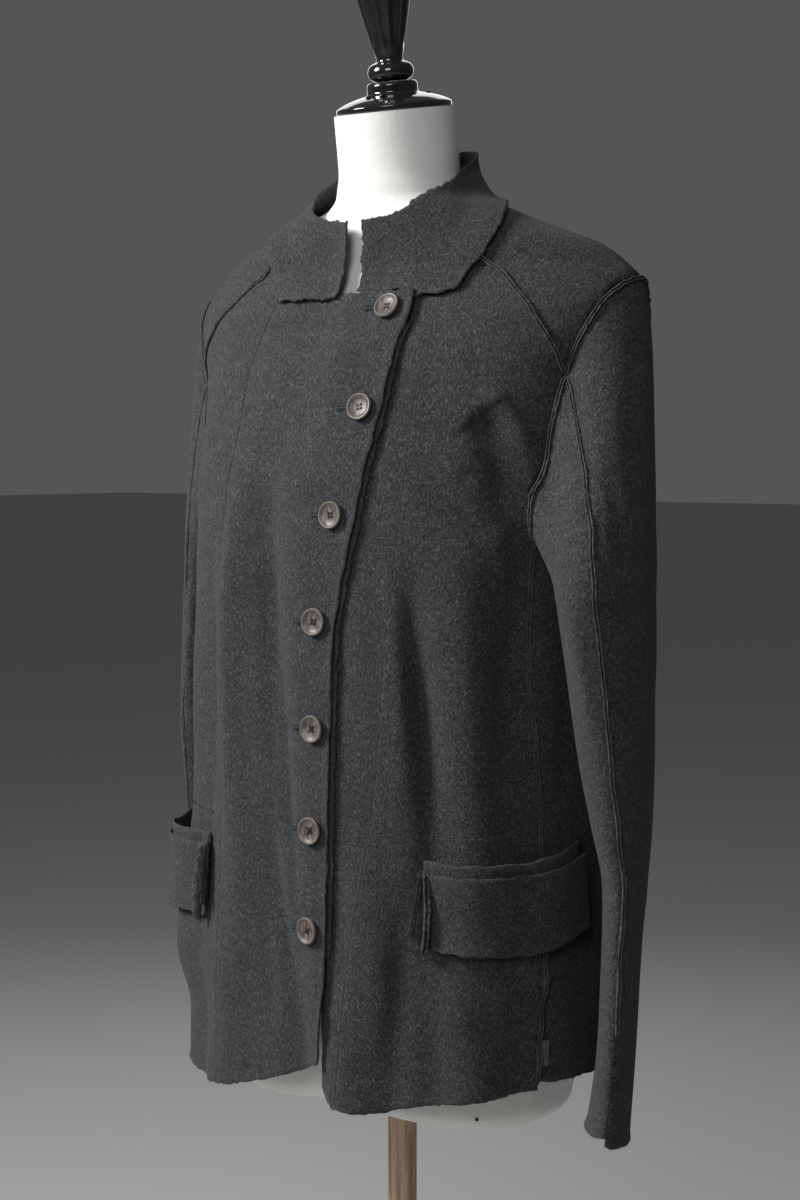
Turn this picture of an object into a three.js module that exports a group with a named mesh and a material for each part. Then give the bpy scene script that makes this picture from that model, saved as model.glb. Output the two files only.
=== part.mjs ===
// A boiled-wool cardigan on a limbless dress form with a turned finial, a pole and a round base.
// Millimetres, +Z up, origin on the floor under the pole. The wearer faces -Y and their left is +X.
// Every cloth piece is a wall on one body surface, which is given by level sections and soft folds.
// A point on that surface has a turn, in degrees from centre front towards the wearer's left, and a z.
import * as THREE from "three";

// ---- driving dimensions ----
const CLOTH = 2.2;            // thickness of the boiled wool
const LAYER = 3.0;            // from the middle of one layer of cloth to the middle of the next
const SEAM_GAP = 0.3;         // between two pieces at a seam
const HEM_Z = 665;            // level of the hem at the side seams
const UNDERARM_Z = 1108;
const YOKE_POINT_Z = 1237;    // where yoke, armhole and sleeve seams meet
const SHOULDER_Z = 1315;      // end of the shoulder at the sleeve
const COLLAR_HEM_Z = 1299;    // lower edge of the collar tabs
const CUFF_Z = 626;
const VENT_TOP_Z = 704;       // top of the open slit at the cuff
const POCKET_MOUTH_Z = 850;
const POCKET_FLOOR_Z = 790;
const POCKET_CUFF_DEPTH = 61;
const BUTTON_WIDTH = 22.5;
const BUTTON_THICKNESS = 4.6;
const FORM_BOTTOM_Z = 630;
const NECK_RADIUS = 51;
const NECK_TOP_Z = 1461;
const NECK_LEAN = 9;          // degrees, towards the front
const NECK_FORWARD = 11;      // how far the top of the neck lies in front of the pole
const POLE_WIDTH = 25;
const BASE_WIDTH = 400;
const BASE_HEIGHT = 24;

// ---- tables ----
// Level sections of the garment: half width, depth in front, depth behind, squareness of the outline,
// and how far the section's centre is shifted back.
const SECTIONS = [
  { z: 620, wide: 199, front: 141, back: 137, square: 2.25, shift: 0 },
  { z: 760, wide: 196, front: 138, back: 131, square: 2.25, shift: 0 },
  { z: 900, wide: 192, front: 137, back: 124, square: 2.3, shift: 0 },
  { z: 1000, wide: 189, front: 135, back: 118, square: 2.4, shift: 0 },
  { z: 1080, wide: 189, front: 132, back: 115, square: 2.5, shift: 1 },
  { z: 1140, wide: 194, front: 132, back: 110, square: 2.35, shift: 6 },
  { z: 1190, wide: 198, front: 125, back: 106, square: 2.3, shift: 11 },
  { z: 1238, wide: 203, front: 115, back: 99, square: 2.3, shift: 15 },
  { z: 1265, wide: 219, front: 103, back: 95, square: 2.2, shift: 17 },
  { z: 1285, wide: 226, front: 93, back: 90, square: 2.2, shift: 18 },
  { z: 1300, wide: 229, front: 85, back: 84, square: 2.0, shift: 18 },
  { z: 1315, wide: 223, front: 80, back: 77, square: 1.8, shift: 18 },
  { z: 1325, wide: 213, front: 77, back: 72, square: 1.7, shift: 17.5 },
  { z: 1341, wide: 190, front: 76, back: 65, square: 1.75, shift: 16 },
  { z: 1356, wide: 151, front: 74, back: 62, square: 1.85, shift: 13 },
  { z: 1366, wide: 123, front: 72, back: 62, square: 1.95, shift: 11 },
  { z: 1375, wide: 101, front: 70, back: 61, square: 2.0, shift: 8 },
  { z: 1381, wide: 86, front: 68, back: 61, square: 2.0, shift: 6 },
  { z: 1388, wide: 76, front: 66, back: 61, square: 2.0, shift: 4 },
  { z: 1399, wide: 67, front: 65, back: 61, square: 2.0, shift: 2 },
  { z: 1410, wide: 61, front: 64, back: 60, square: 2.0, shift: 1 },
  { z: 1434, wide: 57, front: 61, back: 58, square: 2.0, shift: 0 },
];
// Soft folds that widen towards the hem: turn and z of both ends, reach outwards, width in degrees.
const FOLDS = [
  { turn: -33, z: 700, topTurn: -31, topZ: 1210, reach: 5, width: 8 },
  { turn: 2, z: 690, topTurn: -18, topZ: 1200, reach: -8, width: 8 },
  { turn: 20, z: 680, topTurn: 28, topZ: 900, reach: 4, width: 7 },
  { turn: 36, z: 690, topTurn: 40, topZ: 860, reach: -6, width: 6 },
  { turn: 47, z: 880, topTurn: 37, topZ: 1100, reach: -7, width: 5 },
  { turn: 56, z: 700, topTurn: 57, topZ: 1130, reach: 5, width: 7 },
  { turn: 67, z: 880, topTurn: 68, topZ: 1080, reach: -4, width: 5 },
  { turn: -52, z: 690, topTurn: -48, topZ: 1120, reach: -6, width: 6 },
  { turn: -66, z: 690, topTurn: -62, topZ: 1080, reach: 4, width: 6 },
  { turn: 104, z: 690, topTurn: 108, topZ: 1080, reach: -6, width: 8 },
  { turn: 126, z: 680, topTurn: 128, topZ: 1160, reach: 7, width: 10 },
  { turn: 150, z: 690, topTurn: 152, topZ: 1120, reach: -7, width: 9 },
  { turn: 176, z: 680, topTurn: 178, topZ: 1180, reach: 6, width: 11 },
  { turn: -156, z: 690, topTurn: -154, topZ: 1130, reach: -7, width: 8 },
  { turn: -130, z: 680, topTurn: -127, topZ: 1150, reach: 7, width: 10 },
  { turn: -104, z: 690, topTurn: -108, topZ: 1060, reach: -5, width: 8 },
];
// How far the full pocket bags push the sides out: a bulge grows from its lowest level to full reach at
// one level, and fades out between two higher ones. The right bag hangs full below its cuff.
const POCKET_BULGES = [
  { turn: -64, reach: 6, low: 690, full: 750, fade: 800, high: 870 },
  { turn: -60, reach: 8, low: 680, full: 735, fade: 745, high: 840 },
  { turn: 68, reach: 7, low: 690, full: 750, fade: 800, high: 870 },
];
const BULGE_WIDTH = 15;       // degrees
const HEM = [
  { turn: -180, z: 664 },
  { turn: -108, z: 662 },
  { turn: -72, z: 640 },
  { turn: -49, z: 635 },
  { turn: -34, z: 640 },
  { turn: -17, z: 652 },
  { turn: -3, z: 664 },
  { turn: 11.4, z: 677 },
];
const LEFT_HEM = [
  { turn: 10.6, z: 656 },
  { turn: 12.7, z: 649 },
  { turn: 18, z: 643 },
  { turn: 26, z: 641 },
  { turn: 43, z: 651 },
  { turn: 63, z: 661 },
  { turn: 72, z: HEM_Z },
];
const BACK_HEM = [
  { turn: 72, z: 670 },
  { turn: 108, z: 671 },
  { turn: 180, z: 666 },
  { turn: 252, z: 662 },
  { turn: 288, z: 645 },
];
// Seams and free edges that run up the body, each as the turn at a height.
const CLOSURE = [
  { z: 677, turn: 11.4 },
  { z: 769, turn: 13.2 },
  { z: 900, turn: 14.4 },
  { z: 1017, turn: 15.6 },
  { z: 1069, turn: 18.7 },
  { z: 1112, turn: 22.1 },
  { z: 1155, turn: 24.4 },
  { z: 1188, turn: 26.9 },
  { z: 1223, turn: 29.6 },
  { z: 1263, turn: 32.6 },
  { z: 1279, turn: 36 },
  { z: 1303, turn: 38.9 },
];
const UNDER_EDGE = [
  { z: 656, turn: 10.6 },
  { z: 709, turn: 10.5 },
  { z: 785, turn: 5 },
  { z: 900, turn: 1 },
  { z: 1100, turn: 3 },
  { z: 1250, turn: 11.5 },
  { z: 1310, turn: 17 },
];
// Where the right front climbs onto what lies under it.
const CLIMB = [
  { z: 656, turn: 10 },
  { z: 709, turn: 9.5 },
  { z: 785, turn: 4 },
  { z: 900, turn: 0 },
  { z: 1100, turn: 2 },
  { z: 1230, turn: 7 },
  { z: 1280, turn: 5 },
  { z: 1303, turn: 4 },
];
const LEFT_PANEL_SEAM = [
  { z: 642, turn: 16 },
  { z: 767, turn: 20.5 },
  { z: 838, turn: 25.5 },
  { z: 926, turn: 29.9 },
  { z: 1016, turn: 32.4 },
  { z: 1116, turn: 35.8 },
  { z: 1213, turn: 38.1 },
  { z: 1274, turn: 43.8 },
  { z: 1318, turn: 49.5 },
];
const RIGHT_PANEL_SEAM = [
  { z: 639, turn: -36 },
  { z: 770, turn: -36.5 },
  { z: 900, turn: -37 },
  { z: 1100, turn: -38.2 },
  { z: 1213, turn: -40 },
  { z: 1274, turn: -44.5 },
  { z: 1316, turn: -49 },
];
const SIDE_SEAM = [
  { z: 660, turn: 72.2 },
  { z: 887, turn: 73.2 },
  { z: 1042, turn: 71.4 },
  { z: UNDERARM_Z, turn: 71.5 },
];
const ARMHOLE_FRONT = [
  { turn: 71.5, z: UNDERARM_Z },
  { turn: 69.7, z: 1124 },
  { turn: 69.4, z: 1141 },
  { turn: 71.4, z: 1160 },
  { turn: 72.6, z: 1185 },
  { turn: 73.2, z: 1212 },
  { turn: 75.1, z: YOKE_POINT_Z },
];
const ARMHOLE_TOP = [
  { turn: 75.1, z: YOKE_POINT_Z },
  { turn: 75.9, z: 1251 },
  { turn: 76.5, z: 1266 },
  { turn: 78.6, z: 1285 },
  { turn: 82.1, z: 1301 },
  { turn: 86.4, z: 1311 },
  { turn: 91, z: SHOULDER_Z },
  { turn: 95.5, z: 1311 },
  { turn: 99.5, z: 1301 },
  { turn: 103, z: 1285 },
  { turn: 105.4, z: 1262 },
  { turn: 106.5, z: YOKE_POINT_Z },
];
const ARMHOLE_BACK = [
  { turn: 71.5, z: UNDERARM_Z },
  { turn: 82, z: 1110 },
  { turn: 92, z: 1116 },
  { turn: 100, z: 1132 },
  { turn: 105.2, z: 1160 },
  { turn: 106.8, z: 1195 },
  { turn: 106.5, z: YOKE_POINT_Z },
];
const YOKE_FRONT = [
  { turn: 75.1, z: YOKE_POINT_Z },
  { turn: 71.3, z: 1263 },
  { turn: 68.9, z: 1283 },
  { turn: 67.6, z: 1304 },
  { turn: 66.1, z: 1320 },
  { turn: 63.4, z: 1330 },
  { turn: 61.5, z: 1337 },
];
const YOKE_BACK = [
  { turn: 106.5, z: YOKE_POINT_Z },
  { turn: 110.5, z: 1266 },
  { turn: 113.5, z: 1296 },
  { turn: 118, z: 1330 },
  { turn: 123, z: 1361 },
  { turn: 127, z: 1386 },
];
const NECKLINE_SHOULDER = [
  { turn: 61.5, z: 1337 },
  { turn: 70, z: 1357 },
  { turn: 79, z: 1371.5 },
  { turn: 88, z: 1381 },
  { turn: 105, z: 1386 },
  { turn: 127, z: 1386 },
];
const NECKLINE_BACK = [
  { turn: 127, z: 1386 },
  { turn: 180, z: 1388 },
  { turn: 233, z: 1386 },
];
const COLLAR_LOW = [
  { turn: 40, z: COLLAR_HEM_Z },
  { turn: 51, z: COLLAR_HEM_Z + 3 },
  { turn: 53.5, z: COLLAR_HEM_Z + 5 },
  { turn: 57.3, z: 1315 },
  { turn: 62.3, z: 1329 },
  { turn: 67, z: 1344.5 },
  { turn: 74, z: 1360 },
  { turn: 81, z: 1369 },
  { turn: 92, z: 1375.5 },
  { turn: 105, z: 1379 },
  { turn: 140, z: 1380 },
  { turn: 180, z: 1380 },
];
const COLLAR_TOP = [
  { turn: 0, z: 1364 },
  { turn: 17, z: 1366 },
  { turn: 31.3, z: 1370 },
  { turn: 49.6, z: 1383 },
  { turn: 67.6, z: 1394 },
  { turn: 92.6, z: 1411 },
  { turn: 119.5, z: 1424 },
  { turn: 150, z: 1430 },
  { turn: 180, z: 1432 },
];
// Level sections of a sleeve: centre, half length and half width, and turn of the long axis.
// x counts outwards from the middle of the body. The left sleeve hangs forward and the right one back.
const LEFT_SLEEVE = [
  { z: 1064, x: 235, y: -43, long: 62, short: 37, turn: 20 },
  { z: 994, x: 236, y: -33, long: 61, short: 33, turn: 22 },
  { z: 930, x: 237, y: -28, long: 60, short: 28, turn: 25 },
  { z: 877, x: 240, y: -25, long: 58, short: 22, turn: 27 },
  { z: 835, x: 241, y: -20, long: 57, short: 17, turn: 28 },
  { z: 780, x: 239, y: -22, long: 56, short: 14.5, turn: 28 },
  { z: 700, x: 237, y: -26, long: 55, short: 14.5, turn: 29 },
  { z: CUFF_Z, x: 233, y: -34, long: 54, short: 17, turn: 30 },
];
const RIGHT_SLEEVE = [
  { z: 1064, x: 221, y: 34, long: 60, short: 29, turn: 4 },
  { z: 994, x: 224, y: 31, long: 59, short: 28, turn: 2 },
  { z: 930, x: 228, y: 30, long: 58, short: 27, turn: 0 },
  { z: 877, x: 229, y: 31, long: 57, short: 22, turn: -2 },
  { z: 835, x: 230, y: 34, long: 57, short: 18, turn: -4 },
  { z: 780, x: 231, y: 41, long: 56, short: 15.5, turn: -6 },
  { z: 700, x: 231, y: 53, long: 55, short: 15, turn: -8 },
  { z: CUFF_Z, x: 230, y: 61, long: 54, short: 17, turn: -10 },
];
const BUTTONS = [
  { turn: 27.2, z: 1288, clear: 0.6 },
  { turn: 21, z: 1208, clear: 0.6 },
  { turn: 14.2, z: 1123, clear: 0.6 },
  { turn: 8.4, z: 1037, clear: 0.6 },
  { turn: 8.6, z: 951, clear: 0.6 },
  { turn: 7.8, z: 868, clear: 0.6 },
  { turn: 7.2, z: 786, clear: 0.6 },
];
// Level sections of the dress form.
const FORM = [
  { z: FORM_BOTTOM_Z, wide: 136, front: 88, back: 92, square: 2.1, shift: 0 },
  { z: 634, wide: 149, front: 100, back: 104, square: 2.1, shift: 0 },
  { z: 645, wide: 158, front: 107, back: 112, square: 2.1, shift: 0 },
  { z: 700, wide: 165, front: 111, back: 117, square: 2.15, shift: 0 },
  { z: 790, wide: 166, front: 109, back: 116, square: 2.15, shift: 0 },
  { z: 900, wide: 146, front: 98, back: 100, square: 2.1, shift: 0 },
  { z: 1000, wide: 121, front: 88, back: 84, square: 2.1, shift: 0 },
  { z: 1080, wide: 128, front: 97, back: 89, square: 2.15, shift: 1 },
  { z: 1150, wide: 145, front: 115, back: 93, square: 2.2, shift: 4 },
  { z: 1210, wide: 161, front: 112, back: 90, square: 2.25, shift: 12 },
  { z: 1270, wide: 181, front: 93, back: 82, square: 2.2, shift: 17 },
  { z: 1304, wide: 191, front: 79, back: 74, square: 2.0, shift: 18 },
  { z: 1326, wide: 196, front: 74, back: 65, square: 1.75, shift: 17.5 },
  { z: 1336.7, wide: 190, front: 71, back: 60, square: 1.8, shift: 16 },
  { z: 1352.2, wide: 151, front: 69, back: 57, square: 1.9, shift: 13 },
  { z: 1363.4, wide: 123, front: 66, back: 54, square: 2.0, shift: 11 },
  { z: 1372, wide: 95, front: 63, back: 52, square: 2.0, shift: 8 },
  { z: 1379, wide: 71, front: 57, back: 52.5, square: 2.0, shift: 3 },
  { z: 1389, wide: 58, front: 52, back: 54, square: 2.0, shift: -2 },
  { z: 1410, wide: NECK_RADIUS + 1, front: NECK_RADIUS, back: NECK_RADIUS, square: 2.0, shift: -4 },
  {
    z: NECK_TOP_Z, wide: NECK_RADIUS, front: NECK_RADIUS, back: NECK_RADIUS, square: 2.0,
    shift: -NECK_FORWARD,
  },
];

// ---- small helpers ----
const DEG = Math.PI / 180;
const lerp = (a, b, t) => a + (b - a) * t;
const clamp = (t) => Math.min(1, Math.max(0, t));
const smooth = (a, b, v) => {
  const t = clamp((v - a) / (b - a));
  return t * t * (3 - 2 * t);
};

// Value of a column of a table at a key, as a smooth curve that never overshoots its rows.
function column(table, key, name, at) {
  const last = table.length - 1;
  const v = Math.min(table[last][key], Math.max(table[0][key], at));
  let i = 0;
  while (i < last - 1 && v > table[i + 1][key]) i += 1;
  const slope = (k) => (table[k + 1][name] - table[k][name]) / (table[k + 1][key] - table[k][key]);
  const tangent = (k) => {
    if (k === 0) return slope(0);
    if (k === last) return slope(last - 1);
    const a = slope(k - 1);
    const b = slope(k);
    return a * b <= 0 ? 0 : (2 * a * b) / (a + b);
  };
  const h = table[i + 1][key] - table[i][key];
  const t = (v - table[i][key]) / h;
  return table[i][name] * (1 + 2 * t) * (1 - t) ** 2 + tangent(i) * h * t * (1 - t) ** 2
    + table[i + 1][name] * t * t * (3 - 2 * t) + tangent(i + 1) * h * t * t * (t - 1);
}

const turnAt = (table, z) => column(table, "z", "turn", z);
const levelAt = (table, turn) => column(table, "turn", "z", turn);
const wrap = (turn) => ((((turn + 180) % 360) + 360) % 360) - 180;

// ---- the body surface ----
function foldReach(turn, z) {
  let out = 0;
  for (const f of FOLDS) {
    const t = clamp((z - f.z) / (f.topZ - f.z));
    const centre = lerp(f.turn, f.topTurn, t);
    const away = wrap(turn - centre) / (f.width * lerp(1, 0.6, t));
    out += f.reach * Math.exp(-away * away) * (1 - t) * (2 - (1 - t)) * smooth(f.topZ, f.topZ - 60, z);
  }
  for (const p of POCKET_BULGES) {
    const away = wrap(turn - p.turn) / BULGE_WIDTH;
    out += p.reach * Math.exp(-away * away) * smooth(p.low, p.full, z) * (1 - smooth(p.fade, p.high, z));
  }
  return out;
}

function radial(section, turn, reach) {
  const s = Math.sin(turn * DEG);
  const c = Math.cos(turn * DEG);
  const depth = c > 0 ? section.front : section.back;
  const n = section.square;
  const r = ((Math.abs(s) / section.wide) ** n + (Math.abs(c) / depth) ** n) ** (-1 / n) + reach;
  return new THREE.Vector2(r * s, section.shift - r * c);
}
const SECTION_COLUMNS = ["wide", "front", "back", "square", "shift"];
function sectionAt(table, z) {
  const section = {};
  for (const name of SECTION_COLUMNS) section[name] = column(table, "z", name, z);
  return section;
}

function bodyPoint(turn, z) {
  const p = radial(sectionAt(SECTIONS, z), turn, foldReach(turn, z));
  return new THREE.Vector3(p.x, p.y, z);
}

function bodyNormal(turn, z) {
  const across = bodyPoint(turn + 0.6, z).sub(bodyPoint(turn - 0.6, z));
  const along = bodyPoint(turn, z + 1.5).sub(bodyPoint(turn, z - 1.5));
  return across.cross(along).normalize();
}

// A point of a cloth layer: lift is how far its middle lies outside the body surface.
const onBody = (turn, z, lift) => bodyPoint(turn, z).addScaledVector(bodyNormal(turn, z), lift);

// ---- walls ----
// Turns a closed list of quads and triangles into a mesh geometry.
function geometryOf(points, faces) {
  const geometry = new THREE.BufferGeometry();
  const numbers = points.flatMap((p) => [p.x, p.y, p.z]);
  geometry.setAttribute("position", new THREE.Float32BufferAttribute(numbers, 3));
  geometry.setIndex(faces.flatMap((f) => (f.length === 4 ? [f[0], f[1], f[2], f[0], f[2], f[3]] : f)));
  geometry.computeVertexNormals();
  return geometry;
}

// A wall of cloth about a grid of middle points, each { point, normal }.
function wall(grid, thickness = CLOTH) {
  const rows = grid.length;
  const cols = grid[0].length;
  const points = [];
  for (const side of [1, -1]) {
    for (const row of grid) {
      for (const m of row) points.push(m.point.clone().addScaledVector(m.normal, (side * thickness) / 2));
    }
  }
  const id = (side, i, j) => side * rows * cols + i * cols + j;
  const faces = [];
  for (let i = 0; i + 1 < rows; i += 1) {
    for (let j = 0; j + 1 < cols; j += 1) {
      faces.push([id(0, i, j), id(0, i, j + 1), id(0, i + 1, j + 1), id(0, i + 1, j)]);
      faces.push([id(1, i, j), id(1, i + 1, j), id(1, i + 1, j + 1), id(1, i, j + 1)]);
    }
  }
  for (let j = 0; j + 1 < cols; j += 1) {
    faces.push([id(0, 0, j), id(1, 0, j), id(1, 0, j + 1), id(0, 0, j + 1)]);
    faces.push([id(0, rows - 1, j + 1), id(1, rows - 1, j + 1), id(1, rows - 1, j), id(0, rows - 1, j)]);
  }
  for (let i = 0; i + 1 < rows; i += 1) {
    faces.push([id(0, i + 1, 0), id(1, i + 1, 0), id(1, i, 0), id(0, i, 0)]);
    faces.push([id(0, i, cols - 1), id(1, i, cols - 1), id(1, i + 1, cols - 1), id(0, i + 1, cols - 1)]);
  }
  return geometryOf(points, faces);
}

// Draws the four edges of a grid in by half a seam gap.
function trimmed(grid, gap = SEAM_GAP) {
  const rows = grid.length - 1;
  const cols = grid[0].length - 1;
  const pull = (m, inner) => {
    const d = inner.point.clone().sub(m.point).normalize();
    return { point: m.point.clone().addScaledVector(d, gap / 2), normal: m.normal };
  };
  let out = grid.map((row) => row.map((m) => m));
  out = out.map((row) => row.map((m, j) => {
    if (j === 0) return pull(m, row[1]);
    return j === cols ? pull(m, row[cols - 1]) : m;
  }));
  return out.map((row, i) => row.map((m, j) => {
    if (i === 0) return pull(m, out[1][j]);
    return i === rows ? pull(m, out[rows - 1][j]) : m;
  }));
}

// Rows and columns lie closer together towards the end of a run where the body bends most.
const closer = (t) => 1 - (1 - t) ** 1.3;
const even = (t) => t;

// Points along a polyline of { turn, z } rows, spaced by length on the body.
function along(rows, count, spacing = even) {
  const fine = [];
  for (let k = 0; k + 1 < rows.length; k += 1) {
    for (let t = 0; t < 1; t += 0.125) {
      fine.push({ turn: lerp(rows[k].turn, rows[k + 1].turn, t), z: lerp(rows[k].z, rows[k + 1].z, t) });
    }
  }
  fine.push(rows[rows.length - 1]);
  const places = fine.map((r) => bodyPoint(r.turn, r.z));
  const run = [0];
  for (let k = 1; k < places.length; k += 1) run.push(run[k - 1] + places[k].distanceTo(places[k - 1]));
  const result = [];
  for (let i = 0; i <= count; i += 1) {
    const target = run[run.length - 1] * spacing(i / count);
    let k = 1;
    while (k < run.length - 1 && run[k] < target) k += 1;
    const t = (target - run[k - 1]) / Math.max(1e-9, run[k] - run[k - 1]);
    result.push({ turn: lerp(fine[k - 1].turn, fine[k].turn, t), z: lerp(fine[k - 1].z, fine[k].z, t) });
  }
  return result;
}

const joined = (a, b) => a.concat(b.slice(1));
const flipped = (rows) => rows.map((r) => ({ ...r, turn: -r.turn }));
const fromBehind = (rows) => rows.map((r) => ({ ...r, turn: 360 - r.turn })).reverse();

// A seam table from its lowest to its highest row, with the smooth curve between them.
function rising(table, count, lowZ = table[0].z, highZ = table[table.length - 1].z) {
  return Array.from({ length: count + 1 }, (_, i) => {
    const z = lerp(lowZ, highZ, closer(i / count));
    return { turn: turnAt(table, z), z };
  });
}
function levelRun(table, from, to, count) {
  return Array.from({ length: count + 1 }, (_, i) => {
    const turn = lerp(from, to, i / count);
    return { turn, z: levelAt(table, turn) };
  });
}

// A panel between four edges that share their corners: low and high run with the turn.
function patch(low, high, start, end, lift = () => 0) {
  const cols = low.length - 1;
  const rows = start.length - 1;
  const grid = [];
  for (let i = 0; i <= rows; i += 1) {
    const w = i / rows;
    const line = [];
    for (let j = 0; j <= cols; j += 1) {
      const s = j / cols;
      const mix = (k) => lerp(start[i][k], end[i][k], s) + lerp(low[j][k], high[j][k], w)
        - lerp(lerp(low[0][k], low[cols][k], s), lerp(high[0][k], high[cols][k], s), w);
      const turn = mix("turn");
      const z = mix("z");
      line.push({ point: onBody(turn, z, lift(turn, z)), normal: bodyNormal(turn, z), turn, z });
    }
    grid.push(line);
  }
  return grid;
}

// ---- materials ----
function finish(color, roughness, metalness = 0) {
  return new THREE.MeshStandardMaterial({ color, roughness, metalness });
}
const WOOL = finish(0x3a3b3e, 0.95);
const LINEN = finish(0xdedbd4, 0.85);
const LACQUER = finish(0x0c0c0d, 0.2);
const HORN = finish(0x6e675f, 0.4);
const BEECH = finish(0xb98f66, 0.6);
const STEEL = finish(0x2b2b2c, 0.45, 0.8);

const part = new THREE.Group();
function add(name, geometry, material, parent = part) {
  const mesh = new THREE.Mesh(geometry, material);
  mesh.name = name;
  parent.add(mesh);
  return mesh;
}

// The mirror image of a left-hand geometry, as a right-hand one.
function mirrored(geometry) {
  const copy = geometry.clone().scale(-1, 1, 1);
  const index = Array.from(copy.getIndex().array);
  for (let k = 0; k < index.length; k += 3) [index[k + 1], index[k + 2]] = [index[k + 2], index[k + 1]];
  copy.setIndex(index);
  copy.computeVertexNormals();
  return copy;
}

// ---- body panels ----
const BODY_ROWS = 14;
const ARM_ROWS = 6;
const PANEL_ROWS = BODY_ROWS + ARM_ROWS;
const sideSeam = (hemZ) => rising(SIDE_SEAM, BODY_ROWS, hemZ);
const armholeFront = along(ARMHOLE_FRONT, ARM_ROWS);
const armholeBack = along(ARMHOLE_BACK, ARM_ROWS);
const rightFrontLift = (turn, z) => 2 * LAYER * smooth(-9, -1, turn - turnAt(CLIMB, z));

const RIGHT_FRONT_TOP = [-43, -35, -27, -19, -12, -5, 0, 5, 12, 20, 30];
function frontRightCentre() {
  const seam = rising(RIGHT_PANEL_SEAM, PANEL_ROWS);
  const edge = rising(CLOSURE, PANEL_ROWS);
  const inner = RIGHT_FRONT_TOP.map((turn) => ({ turn, z: lerp(1303, 1309, smooth(4, 30, -turn)) }));
  const top = [seam[PANEL_ROWS], ...inner, edge[PANEL_ROWS]];
  const cols = top.length - 1;
  const hem = levelRun(HEM, seam[0].turn, edge[0].turn, cols);
  hem[0] = seam[0];
  hem[cols] = edge[0];
  return patch(hem, top, seam, edge, rightFrontLift);
}

function frontLeftCentre() {
  const edge = rising(UNDER_EDGE, PANEL_ROWS);
  const seam = rising(LEFT_PANEL_SEAM, PANEL_ROWS);
  const cols = 5;
  const hem = along([edge[0], LEFT_HEM[1], seam[0]], cols);
  const top = along([edge[PANEL_ROWS], { turn: 33, z: 1313 }, seam[PANEL_ROWS]], cols);
  return patch(hem, top, edge, seam);
}

const YOKE_ROWS = 7;
const yokeFront = along(YOKE_FRONT, YOKE_ROWS, closer);
const yokeBack = along(YOKE_BACK, YOKE_ROWS, closer);

// A side front runs from its panel seam to the side seam, the armhole and the yoke.
function frontSide(panelSeam, hemRows) {
  const neckCols = 2;
  const cols = neckCols + YOKE_ROWS;
  const seam = rising(panelSeam, PANEL_ROWS);
  const side = joined(sideSeam(hemRows[hemRows.length - 1].z), armholeFront);
  const inside = (r) => r.turn > seam[0].turn + 2 && r.turn < side[0].turn - 2;
  const hem = along([seam[0], ...hemRows.filter(inside), side[0]], cols);
  const neck = along([seam[PANEL_ROWS], yokeFront[YOKE_ROWS]], neckCols);
  const top = joined(neck, [...yokeFront].reverse());
  return { hem, top, seam, side };
}
function frontLeftSide() {
  const edges = frontSide(LEFT_PANEL_SEAM, LEFT_HEM);
  return patch(edges.hem, edges.top, edges.seam, edges.side);
}
function frontRightSide() {
  const edges = frontSide(flipped(RIGHT_PANEL_SEAM), flipped(HEM).reverse().filter((r) => r.turn < 73));
  const low = flipped(edges.hem).reverse();
  const high = flipped(edges.top).reverse();
  return patch(low, high, flipped(edges.side), flipped(edges.seam));
}

function back() {
  const left = joined(sideSeam(BACK_HEM[0].z), armholeBack);
  const right = joined(sideSeam(BACK_HEM[4].z), armholeBack).map((r) => ({ turn: 360 - r.turn, z: r.z }));
  const neckCols = 6;
  const cols = neckCols + 2 * YOKE_ROWS;
  const hem = along([left[0], BACK_HEM[1], BACK_HEM[2], BACK_HEM[3], right[0]], cols);
  const neck = along(NECKLINE_BACK, neckCols);
  const top = joined(joined(yokeBack, neck), fromBehind(yokeBack));
  return patch(hem, top, left, right);
}

const CURVED_GAP = 0.8;
function yoke() {
  const cols = 10;
  const armhole = along(ARMHOLE_TOP, cols);
  const neck = along(NECKLINE_SHOULDER, cols);
  return patch(armhole, neck, yokeFront, yokeBack);
}

// A strip under the closing edge: it shows as the second raw layer of that edge.
function facing() {
  const rows = 18;
  const cols = 3;
  const inner = Array.from({ length: rows + 1 }, (_, i) => {
    const z = lerp(765, 1276, i / rows);
    return { turn: turnAt(CLIMB, z) + 3.5, z };
  });
  const outer = inner.map((r) => ({ turn: turnAt(CLOSURE, r.z) + 0.35, z: r.z }));
  const low = along([inner[0], outer[0]], cols);
  const high = along([inner[rows], outer[rows]], cols);
  return patch(low, high, inner, outer, () => LAYER);
}

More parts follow.
